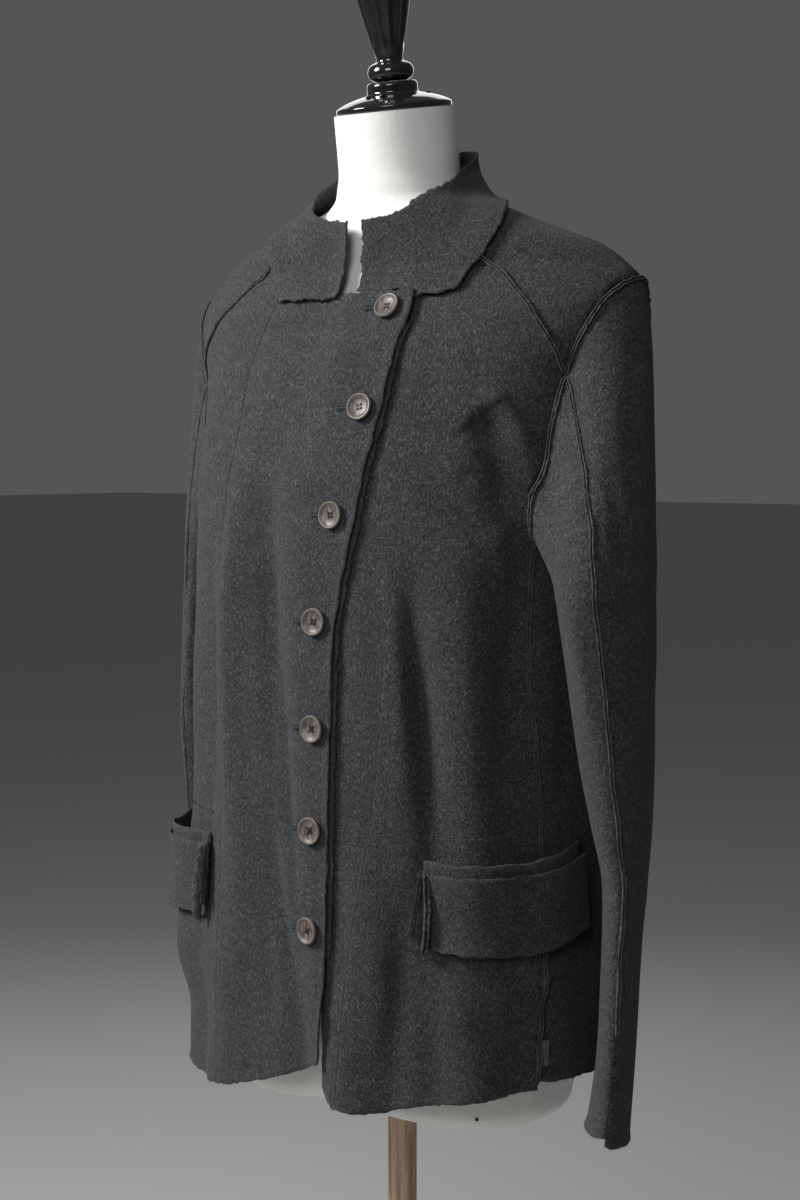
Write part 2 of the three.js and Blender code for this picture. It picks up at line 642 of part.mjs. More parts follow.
// ---- collar ----
// The stand collar lies over the neckline and ends in square tabs on the fronts. The left tab's lower
// edge stops at the top of the right front as far as that reaches.
const COLLAR_LIFT = LAYER + 1.2;
const TAB_OVER_FRONT = { turn: 39.4, z: 1304.6 };
const RIGHT_TAB_SHORTER = 4;  // degrees
const COLLAR_TURNS = [53.5, 57.5, 62, 66.6, 71, 76.5, 83, 91, 101, 114, 130, 146, 163, 180];
function collar() {
  const left = [
    { low: 5.3, high: 7.2, lowZ: TAB_OVER_FRONT.z },
    ...[13, 23, 32].map((t) => ({ low: t, high: t, lowZ: TAB_OVER_FRONT.z })),
    { low: TAB_OVER_FRONT.turn, high: 39, lowZ: TAB_OVER_FRONT.z },
    { low: TAB_OVER_FRONT.turn + 0.8, high: 41, lowZ: COLLAR_HEM_Z },
    ...COLLAR_TURNS.map((t) => ({ low: t, high: t, lowZ: levelAt(COLLAR_LOW, t) })),
  ];
  const right = [
    { low: -8.8, high: -1.5, lowZ: COLLAR_HEM_Z },
    ...[-17, -25, -33, -41].map((t) => ({ low: t, high: t + 2, lowZ: COLLAR_HEM_Z + 1 })),
    ...COLLAR_TURNS.slice(0, -1).map((t) => {
      return { low: RIGHT_TAB_SHORTER * smooth(120, 60, t) - t, high: -t, lowZ: levelAt(COLLAR_LOW, t) };
    }),
  ];
  const columns = [...left, ...right.reverse().map((c) => ({ ...c, low: c.low + 360, high: c.high + 360 }))];
  const rows = 4;
  return Array.from({ length: rows + 1 }, (_, i) => {
    const w = i / rows;
    return columns.map((c) => {
      const turn = lerp(c.low, c.high, w);
      const z = lerp(c.lowZ, levelAt(COLLAR_TOP, Math.abs(wrap(c.high))), w);
      const onFront = turn > 180 ? rightFrontLift(turn - 360, z) : 0;
      return { point: onBody(turn, z, COLLAR_LIFT + onFront), normal: bodyNormal(turn, z) };
    });
  });
}

// ---- sleeves ----
const SLEEVE_COLUMNS = ["x", "y", "long", "short", "turn"];
function sleeveSection(table, z, angle) {
  const row = {};
  for (const name of SLEEVE_COLUMNS) row[name] = column(table, "z", name, z);
  const a = row.long * Math.cos(angle);
  const b = row.short * Math.sin(angle);
  const s = Math.sin(row.turn * DEG);
  const c = Math.cos(row.turn * DEG);
  return new THREE.Vector3(row.x + a * s + b * c, row.y - a * c + b * s, z);
}

// A sleeve is one ring of columns: the upper half from the front fold over the outer side to the back
// fold, then the under half. Angle 0 is the front fold and 90 degrees the outer side.
const HALF_COLS = 10;
const CAP_ROWS = 6;
const TUBE_ROWS = 9;
const UPPER = {
  from: 8, to: 172, first: 0, cuffRise: (s) => 12 * (1 - s) ** 2, slit: (s) => -9 * (1 - s),
};
const UNDER = {
  from: 172, to: 368, first: HALF_COLS, cuffRise: (s) => 8 + 10 * s, slit: (s) => -16 * s ** 3,
};
const SLEEVE_EDGE = [
  ...along(ARMHOLE_TOP, HALF_COLS).slice(0, -1),
  ...along(joined([...ARMHOLE_BACK].reverse(), ARMHOLE_FRONT), HALF_COLS).slice(0, -1),
];
function sleevePoint(table, half, i, j) {
  const upwards = [...table].reverse();
  const topZ = table[0].z;
  const s = j / HALF_COLS;
  const angle = lerp(half.from, half.to, s);
  if (i > CAP_ROWS) {
    const z = lerp(topZ, CUFF_Z + half.cuffRise(s), (i - CAP_ROWS) / TUBE_ROWS);
    const slit = half.slit(s) * smooth(VENT_TOP_Z, CUFF_Z, z);
    return sleeveSection(upwards, z, (angle + slit) * DEG);
  }
  const place = SLEEVE_EDGE[(half.first + j) % SLEEVE_EDGE.length];
  const height = clamp((place.z - UNDERARM_Z) / (SHOULDER_Z - UNDERARM_Z));
  const lapped = place.turn > 95 ? 1 - smooth(0.3, 0.62, height) : 1 - smooth(0.05, 0.4, height);
  const start = onBody(place.turn, place.z, 3 * lapped);
  const end = sleeveSection(upwards, topZ, angle * DEG);
  const t = i / CAP_ROWS;
  const span = start.distanceTo(end);
  const out = new THREE.Vector3(lerp(0.45, 0.6, height), 0, lerp(-0.9, -0.8, height));
  const pull = span * lerp(0.7, 0.17, height);
  const atStart = 2 * t ** 3 - 3 * t ** 2 + 1;
  return start.addScaledVector(out, 2.3).multiplyScalar(atStart)
    .addScaledVector(out, (t ** 3 - 2 * t ** 2 + t) * pull)
    .addScaledVector(end, 1 - atStart)
    .addScaledVector(new THREE.Vector3(0, 0, -1), (t ** 3 - t ** 2) * span * 0.8);
}

// Half a sleeve, from the cuff up to the armhole.
function sleeveHalf(table, half) {
  const closed = { cuffRise: () => 10, slit: () => 0 };
  const ringPoint = (i, k) => {
    const place = (k + 2 * HALF_COLS) % (2 * HALF_COLS);
    const shape = place < HALF_COLS ? UPPER : UNDER;
    return sleevePoint(table, { ...shape, ...closed }, i, place % HALF_COLS);
  };
  const last = CAP_ROWS + TUBE_ROWS;
  const grid = [];
  for (let i = last; i >= 0; i -= 1) {
    grid.push(Array.from({ length: HALF_COLS + 1 }, (_, j) => {
      const k = half.first + j;
      const across = ringPoint(i, k + 1).sub(ringPoint(i, k - 1));
      const rise = ringPoint(Math.max(0, i - 1), k).sub(ringPoint(Math.min(last, i + 1), k));
      return { point: sleevePoint(table, half, i, j), normal: across.cross(rise).normalize() };
    }));
  }
  return grid;
}
const upperSleeve = (table) => sleeveHalf(table, UPPER);
const underSleeve = (table) => sleeveHalf(table, UNDER);

// ---- pockets ----
const POCKET_FRONT_TURN = 42.5;
const POCKET_BACK_TURN = 85.5;
const POCKET_COLS = 12;
const POCKET_GAPE = 13;
const CUFF_FLARE = 3;
// How far a pocket's cloth stands off the body: s runs from its front end to its back end.
function pocketGape(s, z) {
  const across = Math.sin(Math.PI * clamp(s)) ** 0.7;
  return POCKET_GAPE * across * smooth(POCKET_FLOOR_Z, POCKET_MOUTH_Z, z);
}
const lipZ = (s) => POCKET_MOUTH_Z - 2 * Math.sin(Math.PI * s) + 12 * smooth(0.6, 1, s);
const cuffTopZ = (s) => lipZ(s) - 10;
const PIECES_OF_POCKET = {
  bag: {
    inset: 1.4,
    rows: 6,
    low: () => POCKET_FLOOR_Z,
    high: lipZ,
    lift: (s, z) => LAYER + pocketGape(s, z),
  },
  cuff: {
    inset: 0,
    rows: 4,
    low: (s) => cuffTopZ(s) - POCKET_CUFF_DEPTH,
    high: cuffTopZ,
    lift: (s, z) => {
      const down = (cuffTopZ(s) - z) / POCKET_CUFF_DEPTH;
      return 2 * LAYER + pocketGape(s, z) + CUFF_FLARE * Math.sin(Math.PI * s) * down;
    },
  },
};
// side is 1 on the left and -1 on the right.
function pocketPiece(piece, side) {
  const from = POCKET_FRONT_TURN + piece.inset;
  const to = POCKET_BACK_TURN - piece.inset;
  return Array.from({ length: piece.rows + 1 }, (_, i) => {
    const line = Array.from({ length: POCKET_COLS + 1 }, (_, j) => {
      const s = j / POCKET_COLS;
      const turn = side * lerp(from, to, s);
      const z = lerp(piece.low(s), piece.high(s), i / piece.rows);
      return { point: onBody(turn, z, piece.lift(s, z)), normal: bodyNormal(turn, z) };
    });
    return side > 0 ? line : line.reverse();
  });
}

// ---- small cloth tag in the left side seam ----
const TAG = { turn: 74.6, z: 694, width: 7, height: 21, thickness: 1.6 };
const tag = () => new THREE.BoxGeometry(TAG.height, TAG.width, TAG.thickness);

// ---- buttons ----
// A dished button with a raised rim, turned about its own axis.
function buttonGeometry() {
  const r = BUTTON_WIDTH / 2;
  const t = BUTTON_THICKNESS;
  const profile = [
    [0, 0], [r * 0.72, 0], [r * 0.97, t * 0.45], [r, t * 0.72],
    [r * 0.9, t], [r * 0.68, t * 0.62], [0, t * 0.5],
  ];
  const lathe = new THREE.LatheGeometry(profile.map(([x, y]) => new THREE.Vector2(x, y)), 14);
  return lathe.rotateX(Math.PI / 2);
}
function placeOnBody(mesh, turn, z, lift) {
  mesh.position.copy(onBody(turn, z, lift));
  mesh.quaternion.setFromUnitVectors(new THREE.Vector3(0, 0, 1), bodyNormal(turn, z));
}

// ---- dress form ----
const FORM_LEVELS = [
  FORM_BOTTOM_Z, 634, 645, 668, 700, 745, 800, 860, 920, 980, 1040, 1100, 1155, 1205, 1250, 1290, 1315, 1330,
  1336.7, 1347, 1352.2, 1363.4, 1372, 1379, 1389, 1410, NECK_TOP_Z,
];
// The lower rim hangs deeper at the hips than in front.
const RIM_DROP = { depth: 12.5, turn: 70, upTo: 745 };
function dressForm() {
  const around = 28;
  const rings = FORM_LEVELS.map((z) => {
    const section = sectionAt(FORM, z);
    const slant = Math.tan(NECK_LEAN * DEG) * smooth(1395, NECK_TOP_Z, z);
    const drop = RIM_DROP.depth * smooth(RIM_DROP.upTo, FORM_BOTTOM_Z, z);
    return Array.from({ length: around }, (_, j) => {
      const turn = (360 * j) / around;
      const p = radial(section, turn, 0);
      const lower = drop * smooth(0, RIM_DROP.turn, Math.abs(wrap(turn)));
      return new THREE.Vector3(p.x, p.y, z + (p.y - section.shift) * slant - lower);
    });
  });
  return loft(rings, new THREE.Vector3(0, 0, FORM_BOTTOM_Z));
}
// A closed solid through rings that all have as many points; its lower end rises to a middle point.
function loft(rings, lowerMiddle) {
  const around = rings[0].length;
  const points = rings.flat();
  const faces = [];
  for (let k = 0; k + 1 < rings.length; k += 1) {
    for (let j = 0; j < around; j += 1) {
      const a = k * around + j;
      const b = k * around + ((j + 1) % around);
      faces.push([a, b, b + around, a + around]);
    }
  }
  const lastRing = rings[rings.length - 1];
  const upperMiddle = lastRing.reduce((sum, p) => sum.add(p), new THREE.Vector3()).divideScalar(around);
  points.push(lowerMiddle, upperMiddle);
  const top = (rings.length - 1) * around;
  for (let j = 0; j < around; j += 1) {
    faces.push([(j + 1) % around, j, points.length - 2]);
    faces.push([top + j, top + ((j + 1) % around), points.length - 1]);
  }
  return geometryOf(points, faces);
}

// A solid turned about +Z from { r, z } rows that start and end on the axis.
function turned(rows, segments) {
  const lathe = new THREE.LatheGeometry(rows.map(([r, z]) => new THREE.Vector2(r, z)), segments);
  return lathe.rotateX(Math.PI / 2);
}
const CAP = [[0, 0], [48, 0], [49, 2], [48, 5], [40, 9], [23, 14], [21.5, 16], [21.5, 21], [19, 24], [0, 24]];
const FINIAL = [
  [0, 24.3], [12, 24.3], [18.2, 28], [19.6, 33], [17, 38.5], [11.5, 41], [11.5, 45],
  [15, 60], [20.5, 84], [24, 102], [24.4, 108], [21, 114], [12, 118.5], [0, 120],
];
const BASE = [
  [0, 0], [BASE_WIDTH / 2 - 3, 0], [BASE_WIDTH / 2, 4], [BASE_WIDTH / 2, BASE_HEIGHT - 8],
  [BASE_WIDTH / 2 - 8, BASE_HEIGHT], [26, BASE_HEIGHT + 4], [22, BASE_HEIGHT + 26], [0, BASE_HEIGHT + 26],
];

// ---- placing ----
const cloth = (name, grid) => add(name, wall(grid), WOOL);
cloth("front_right_centre", trimmed(frontRightCentre()));
cloth("front_right_side", trimmed(frontRightSide()));
cloth("front_facing_right", facing());
cloth("front_left_centre", trimmed(frontLeftCentre()));
cloth("front_left_side", trimmed(frontLeftSide()));
cloth("back", trimmed(back()));
cloth("collar", collar());
add("yoke_left", wall(trimmed(yoke(), CURVED_GAP)), WOOL);
add("yoke_right", mirrored(wall(trimmed(yoke(), CURVED_GAP))), WOOL);
add("sleeve_left_upper", wall(trimmed(upperSleeve(LEFT_SLEEVE), CURVED_GAP)), WOOL);
add("sleeve_left_under", wall(trimmed(underSleeve(LEFT_SLEEVE), CURVED_GAP)), WOOL);
add("sleeve_right_upper", mirrored(wall(trimmed(upperSleeve(RIGHT_SLEEVE), CURVED_GAP))), WOOL);
add("sleeve_right_under", mirrored(wall(trimmed(underSleeve(RIGHT_SLEEVE), CURVED_GAP))), WOOL);
for (const [hand, side] of [["left", 1], ["right", -1]]) {
  cloth(`pocket_${hand}`, pocketPiece(PIECES_OF_POCKET.bag, side));
  cloth(`pocket_cuff_${hand}`, pocketPiece(PIECES_OF_POCKET.cuff, side));
}
placeOnBody(add("side_tag", tag(), WOOL), TAG.turn, TAG.z, CLOTH / 2 + 0.4 + TAG.thickness / 2);
BUTTONS.forEach((b, k) => {
  const mesh = add(`button_${k + 1}`, buttonGeometry(), HORN);
  placeOnBody(mesh, b.turn, b.z, rightFrontLift(b.turn, b.z) + CLOTH / 2 + b.clear);
});

add("dress_form", dressForm(), LINEN);
const neck = new THREE.Group();
neck.position.set(0, -NECK_FORWARD, NECK_TOP_Z + 0.3);
neck.rotation.x = NECK_LEAN * DEG;
part.add(neck);
add("neck_cap", turned(CAP, 26), LACQUER, neck);
add("finial", turned(FINIAL, 18), LACQUER, neck);
const POLE_SEAT = 2.1;        // the form's hollow underside meets the pole's rim first
const poleBottom = BASE_HEIGHT + 26.3;
const poleLength = FORM_BOTTOM_Z - POLE_SEAT - poleBottom;
const pole = new THREE.CylinderGeometry(POLE_WIDTH / 2, POLE_WIDTH / 2, poleLength, 20);
add("pole", pole.rotateX(Math.PI / 2), BEECH).position.z = poleBottom + poleLength / 2;
add("base", turned(BASE, 36), STEEL);

export default part;
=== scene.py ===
"""A boiled wool cardigan on a limbless dress form, with its finial, pole and base.

Tables and surfaces are in millimetres and degrees, +Z up. A point on the body surface has a turn, in
degrees from centre front towards the wearer's left, and a height z. Meshes are made in metres.
"""
import math

import bmesh
import bpy
import numpy as np
from bpy.props import FloatProperty, FloatVectorProperty, IntProperty, PointerProperty
from bpy.types import Operator, Panel, PropertyGroup
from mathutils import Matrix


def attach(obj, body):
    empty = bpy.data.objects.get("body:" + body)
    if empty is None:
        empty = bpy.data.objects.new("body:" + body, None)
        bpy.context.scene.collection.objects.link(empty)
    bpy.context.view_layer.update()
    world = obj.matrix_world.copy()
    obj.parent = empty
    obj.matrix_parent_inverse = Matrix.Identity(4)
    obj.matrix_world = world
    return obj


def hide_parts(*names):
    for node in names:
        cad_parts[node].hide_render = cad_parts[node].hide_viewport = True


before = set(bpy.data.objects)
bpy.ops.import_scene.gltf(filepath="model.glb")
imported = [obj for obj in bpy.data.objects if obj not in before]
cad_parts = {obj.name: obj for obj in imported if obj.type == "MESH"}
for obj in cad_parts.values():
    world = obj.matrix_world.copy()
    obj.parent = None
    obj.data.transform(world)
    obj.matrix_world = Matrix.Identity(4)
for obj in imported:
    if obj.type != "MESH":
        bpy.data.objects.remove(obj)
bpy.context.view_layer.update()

bl_info = {
    "name": "Wool cardigan on a dress form",
    "version": (1, 0, 0),
    "blender": (4, 5, 0),
    "location": "3D View > Sidebar > Cardigan",
    "description": "Builds a boiled wool cardigan and the dress form that it hangs on",
    "category": "Add Mesh",
}

MM = 0.001
DEG = math.pi / 180


# ---- settings ----
def length(name, description, default, low=0.0, high=1.0):
    return FloatProperty(name=name, description=description, default=default, min=low, max=high,
                         unit="LENGTH", precision=5)


def colour(name, description, default):
    return FloatVectorProperty(name=name, description=description, default=default, size=3, min=0, max=1,
                               subtype="COLOR")


class CARDIGAN_PG_cloth(PropertyGroup):
    """Sizes of the wool and its sewing."""

    thickness: length("Thickness", "Thickness of the boiled wool", 0.0022, 0.001, 0.004)
    mesh_step: length("Mesh step", "Distance between the points of the cloth along the body", 0.0027,
                      0.0015, 0.01)
    fray: length("Fray", "How far the raw edges wander", 0.0008, 0, 0.003)
    curl: length("Curl", "How far the raw edges curl outwards", 0.0016, 0, 0.006)
    seam_height: length("Seam height", "How far the raw seam allowances stand up", 0.0036, 0.001, 0.008)
    stitch: length("Stitch", "Length of one stitch", 0.0026, 0.001, 0.006)
    thread: length("Thread", "Thickness of the sewing thread", 0.0005, 0.0002, 0.001)
    crease_depth: FloatProperty(name="Crease depth", description="Depth of the soft creases", default=1.0,
                                min=0, max=1.5, subtype="FACTOR")
    unevenness: length("Unevenness", "How far the cloth wanders from a smooth surface", 0.0011, 0, 0.003)
    hairs: IntProperty(name="Loose fibres", description="Number of loose fibres on the cloth",
                       default=20000, min=10, max=45000)
    seed: IntProperty(name="Seed", description="Seed of the small random differences", default=7)


class CARDIGAN_PG_colours(PropertyGroup):
    """Colours of the cardigan and its carrier."""

    wool: colour("Wool", "Ground of the wool", (0.040, 0.042, 0.045))
    wool_pale: colour("Pale fibres", "Pale fibres in the wool", (0.165, 0.168, 0.174))
    wool_dark: colour("Dark fibres", "Dark fibres in the wool", (0.008, 0.0082, 0.009))
    thread: colour("Thread", "Sewing thread", (0.010, 0.010, 0.011))
    tag: colour("Tag", "Small woven tag", (0.075, 0.075, 0.074))
    horn: colour("Horn", "Middle of the buttons", (0.060, 0.050, 0.043))
    horn_pale: colour("Pale horn", "Rim and streaks of the buttons", (0.17, 0.15, 0.133))
    form_cover: colour("Form cover", "Jersey over the dress form", (0.85, 0.835, 0.81))
    lacquer: colour("Lacquer", "Cap and finial", (0.011, 0.011, 0.012))
    beech: colour("Beech", "Ground of the pole", (0.60, 0.43, 0.29))
    beech_dark: colour("Dark beech", "Grain of the pole", (0.30, 0.17, 0.085))
    base: colour("Base", "Powder coat of the base", (0.022, 0.022, 0.024))
    floor: colour("Floor", "Studio floor", (0.50, 0.495, 0.49))


# ---- tables ----
def table(names, *rows):
    return {name: np.array(values, float) for name, values in zip(names.split(), zip(*rows))}


SECTIONS = table(
    "z wide front back square shift",
    (620, 199, 141, 137, 2.25, 0), (760, 196, 138, 131, 2.25, 0), (900, 192, 137, 124, 2.3, 0),
    (1000, 189, 135, 118, 2.4, 0), (1080, 189, 132, 115, 2.5, 1), (1140, 194, 132, 110, 2.35, 6),
    (1190, 198, 125, 106, 2.3, 11), (1238, 203, 115, 99, 2.3, 15), (1265, 219, 103, 95, 2.2, 17),
    (1285, 226, 93, 90, 2.2, 18), (1300, 229, 85, 84, 2.0, 18), (1315, 223, 80, 77, 1.8, 18),
    (1325, 213, 77, 72, 1.7, 17.5), (1341, 190, 76, 65, 1.75, 16), (1356, 151, 74, 62, 1.85, 13),
    (1366, 123, 72, 62, 1.95, 11), (1375, 101, 70, 61, 2.0, 8), (1381, 86, 68, 61, 2.0, 6),
    (1388, 76, 66, 61, 2.0, 4), (1399, 67, 65, 61, 2.0, 2), (1410, 61, 64, 60, 2.0, 1),
    (1434, 57, 61, 58, 2.0, 0))
# Folds that widen towards the hem: both ends, reach outwards in mm, width in degrees.
FOLDS = table(
    "turn z top_turn top_z reach width",
    (-33, 700, -31, 1210, 5, 8), (2, 690, -18, 1200, -8, 8), (20, 680, 28, 900, 4, 7),
    (36, 690, 40, 860, -6, 6), (47, 880, 37, 1100, -7, 5), (56, 700, 57, 1130, 5, 7),
    (67, 880, 68, 1080, -4, 5), (-52, 690, -48, 1120, -6, 6), (-66, 690, -62, 1080, 4, 6),
    (104, 690, 108, 1080, -6, 8), (126, 680, 128, 1160, 7, 10), (150, 690, 152, 1120, -7, 9),
    (176, 680, 178, 1180, 6, 11), (-156, 690, -154, 1130, -7, 8), (-130, 680, -127, 1150, 7, 10),
    (-104, 690, -108, 1060, -5, 8))
# Full pocket bags: reach in mm between two fading ends.
POCKET_BULGES = table(
    "turn reach low full fade high",
    (-64, 6, 690, 750, 800, 870), (-60, 8, 680, 735, 745, 840), (68, 7, 690, 750, 800, 870))
BULGE_WIDTH = 15
# Single creases given one by one: start, middle and end as turn and z, reach in mm, width in mm.
CREASES = table(
    "t0 z0 t1 z1 t2 z2 reach width",
    # drag from the bust to the underarm on the wearer's left, with the trough above it
    (55, 1224, 63.4, 1203, 69.4, 1150, 5.0, 7), (55, 1210, 62, 1172, 68.5, 1080, -10, 15),
    (66, 1130, 68, 1020, 67, 880, -5.5, 14),
    (50, 1160, 58, 1150, 66, 1116, -2.2, 11), (60, 1120, 64, 1090, 66, 1040, 2.4, 9),
    # right front: long ridge and trough from the bust to the hem
    (-33, 1190, -34, 1060, -36, 900, 2.4, 13), (-24, 1185, -19, 1080, -12, 960, -2.6, 14),
    (-12, 1060, -6, 940, 2, 800, -2.2, 12), (-8, 900, -4, 800, 2, 690, 2.4, 13),
    (-27, 960, -26, 840, -25, 680, 2.6, 14), (-17, 860, -14, 760, -12, 670, -2.0, 11),
    (-44, 1080, -45, 960, -46, 840, -2.4, 9), (-47, 1210, -52, 1185, -60, 1140, -2.0, 9),
    (-50, 1180, -56, 1150, -66, 1108, 3.0, 11),
    # between the closing edge and the left panel seam
    (24, 1090, 25, 980, 24, 840, 1.4, 14), (33, 1120, 37, 1000, 39, 880, 2.4, 10),
    (41, 1110, 44, 980, 47, 880, -4.2, 9), (50, 1130, 54, 1000, 54, 868, 4.2, 15),
    (42, 1040, 45, 940, 47, 850, -4.0, 10), (-20, 1140, -15, 980, -13, 850, -4.6, 13),
    (-14, 900, -9, 800, 2, 706, -4.4, 12), (-32, 1150, -32, 970, -29, 760, 3.2, 14),
    (-44, 1130, -46, 980, -50, 760, -2.6, 9),
    (63, 1050, 64, 960, 63, 880, -2.6, 10), (30, 820, 31, 740, 30, 660, 2.6, 13),
    (46, 790, 48, 730, 50, 668, 2.4, 12), (56, 776, 58, 720, 57, 672, -2.4, 11),
    (63, 770, 65, 720, 67, 676, 1.8, 9),
    # shoulders, drawn towards the collar
    (45, 1270, 52, 1262, 60, 1240, 1.2, 12), (-46, 1262, -54, 1254, -62, 1232, 1.2, 12),
    (-20, 1290, -32, 1276, -42, 1258, -1.0, 14), (40, 1245, 47, 1232, 55, 1224, -1.2, 12),
    # small pulls beside the buttons
    (-2, 1208, 8, 1212, 17, 1209, -0.9, 7), (-8, 1121, 2, 1127, 10, 1124, -1.0, 8),
    (-12, 1034, -3, 1040, 4, 1038, -0.9, 7), (-13, 948, -4, 954, 4, 952, -1.0, 8),
    (-12, 864, -4, 872, 3, 869, -0.9, 7), (10, 1250, 18, 1246, 26, 1252, -0.8, 8),
    # back and far side, similar to the ones in front
    (112, 1150, 116, 1060, 116, 930, -2.6, 12), (120, 1190, 132, 1170, 150, 1160, -1.6, 13),
    (140, 1090, 141, 960, 139, 800, 2.8, 14), (164, 1150, 163, 1010, 165, 860, -2.4, 13),
    (186, 1120, 188, 980, 187, 820, 2.2, 14), (204, 1160, 204, 1030, 206, 880, -2.8, 13),
    (222, 1090, 221, 950, 223, 790, 2.6, 14), (240, 1180, 228, 1166, 212, 1158, -1.6, 13),
    (246, 1140, 243, 1040, 244, 900, -2.6, 12), (96, 1040, 98, 950, 97, 850, 2.6, 12),
    (90, 1090, 96, 1060, 104, 1040, -2.0, 9), (268, 1040, 263, 950, 262, 850, 2.6, 12),
    (270, 1090, 264, 1064, 256, 1040, -2.0, 9), (134, 800, 136, 730, 133, 676, 3.0, 13),
    (160, 790, 158, 730, 161, 676, 2.4, 12), (214, 800, 216, 730, 213, 676, 2.8, 13),
    (236, 780, 238, 730, 240, 672, -2.4, 12), (90, 800, 92, 740, 90, 690, 2.2, 10),
    (272, 780, 270, 730, 272, 672, 2.2, 10), (80, 1000, 81, 930, 79, 880, -2.2, 8),
    (-76, 1000, -78, 930, -77, 880, -2.2, 8), (-58, 1040, -59, 960, -58, 880, 2.6, 10))
HEM = table("turn z", (-180, 664), (-108, 662), (-72, 640), (-49, 635), (-34, 640), (-17, 652), (-3, 664),
            (11.4, 677))
CLOSURE = table(
    "z turn", (677, 11.4), (769, 13.2), (900, 14.4), (1017, 15.6), (1069, 18.7), (1112, 22.1), (1155, 24.4),
    (1188, 26.9), (1223, 29.6), (1263, 32.6), (1279, 36), (1303, 38.9))
UNDER_EDGE = table("z turn", (656, 10.6), (709, 10.5), (785, 5), (900, 1), (1100, 3), (1250, 11.5),
                   (1310, 17))
# Where the right front climbs onto what lies under it.
CLIMB = table("z turn", (656, 10), (709, 9.5), (785, 4), (900, 0), (1100, 2), (1230, 7), (1280, 5),
              (1303, 4))
LEFT_PANEL_SEAM = table(
    "z turn", (642, 16), (767, 20.5), (838, 25.5), (926, 29.9), (1016, 32.4), (1116, 35.8), (1213, 38.1),
    (1274, 43.8), (1318, 49.5))
RIGHT_PANEL_SEAM = table("z turn", (639, -36), (770, -36.5), (900, -37), (1100, -38.2), (1213, -40),
                         (1274, -44.5), (1316, -49))
SIDE_SEAM = table("z turn", (640, 72.1), (660, 72.2), (887, 73.2), (1042, 71.4), (1108, 71.5))
ARMHOLE_FRONT = table("turn z", (71.5, 1108), (69.7, 1124), (69.4, 1141), (71.4, 1160), (72.6, 1185),
                      (73.2, 1212), (75.1, 1237))
ARMHOLE_TOP = table(
    "turn z", (75.1, 1237), (75.9, 1251), (76.5, 1266), (78.6, 1285), (82.1, 1301), (86.4, 1311), (91, 1315),
    (95.5, 1311), (99.5, 1301), (103, 1285), (105.4, 1262), (106.5, 1237))
ARMHOLE_BACK = table("turn z", (71.5, 1108), (82, 1110), (92, 1116), (100, 1132), (105.2, 1160),
                     (106.8, 1195), (106.5, 1237))
YOKE_FRONT = table("turn z", (75.1, 1237), (71.3, 1263), (68.9, 1283), (67.6, 1304), (66.1, 1320),
                   (63.4, 1330), (61.5, 1337))
YOKE_BACK = table("turn z", (106.5, 1237), (110.5, 1266), (113.5, 1296), (118, 1330), (123, 1361),
                  (127, 1386))
NECKLINE_SHOULDER = table("turn z", (61.5, 1337), (70, 1357), (79, 1371.5), (88, 1381), (105, 1386),
                          (127, 1386))
NECKLINE_BACK = table("turn z", (127, 1386), (180, 1388), (233, 1386))
COLLAR_LOW = table(
    "turn z", (40, 1299), (51, 1302), (53.5, 1304), (57.3, 1315), (62.3, 1329), (67, 1344.5), (74, 1360),
    (81, 1369), (92, 1375.5), (105, 1379), (140, 1380), (180, 1380))
COLLAR_TOP = table("turn z", (0, 1364), (17, 1366), (31.3, 1370), (49.6, 1383), (67.6, 1394), (92.6, 1411),
                   (119.5, 1424), (150, 1430), (180, 1432))
# Level sections of the sleeves, from the cuff up: centre, half axes, and turn of the long axis.
LEFT_SLEEVE = table(
    "z x y long short turn",
    (626, 233, -34, 54, 17, 30), (700, 237, -26, 55, 14.5, 29), (780, 239, -22, 56, 14.5, 28),
    (835, 241, -20, 57, 17, 28), (877, 240, -25, 58, 22, 27), (930, 237, -28, 60, 28, 25),
    (994, 236, -33, 61, 33, 22), (1064, 235, -43, 62, 37, 20))
RIGHT_SLEEVE = table(
    "z x y long short turn",
    (626, 230, 61, 54, 17, -10), (700, 231, 53, 55, 15, -8), (780, 231, 41, 56, 15.5, -6),
    (835, 230, 34, 57, 18, -4), (877, 229, 31, 57, 22, -2), (930, 228, 30, 58, 27, 0),
    (994, 224, 31, 59, 28, 2), (1064, 221, 34, 60, 29, 4))
# Creases of a sleeve: angle round the sleeve and height of both ends, reach and width in mm.
SLEEVE_CREASES = table(
    "a0 z0 a1 z1 reach width",
    (62, 1190, 78, 960, 2.6, 13), (34, 1180, 44, 1000, -2.2, 9), (96, 1150, 112, 930, -2.6, 13),
    (128, 1130, 140, 960, 2.4, 11), (58, 900, 30, 850, -2.6, 9), (84, 886, 48, 826, 2.8, 10),
    (120, 860, 74, 806, -2.4, 10), (150, 900, 118, 852, 2.2, 9), (72, 800, 66, 700, 1.8, 12),
    (108, 780, 114, 672, -1.8, 12), (30, 790, 26, 700, -1.6, 9), (200, 1080, 226, 1000, -2.4, 11),
    (246, 1060, 262, 950, 2.2, 11), (300, 1080, 318, 980, -2.4, 10), (338, 1070, 344, 940, 2.2, 9),
    (210, 900, 250, 850, 2.2, 10), (290, 880, 330, 826, -2.2, 10), (236, 790, 240, 690, -1.6, 12),
    (312, 790, 306, 680, 1.6, 11))
BUTTONS = table("turn z", (27.2, 1288), (21, 1208), (14.2, 1123), (8.4, 1037), (8.6, 951), (7.8, 868),
                (7.2, 786))
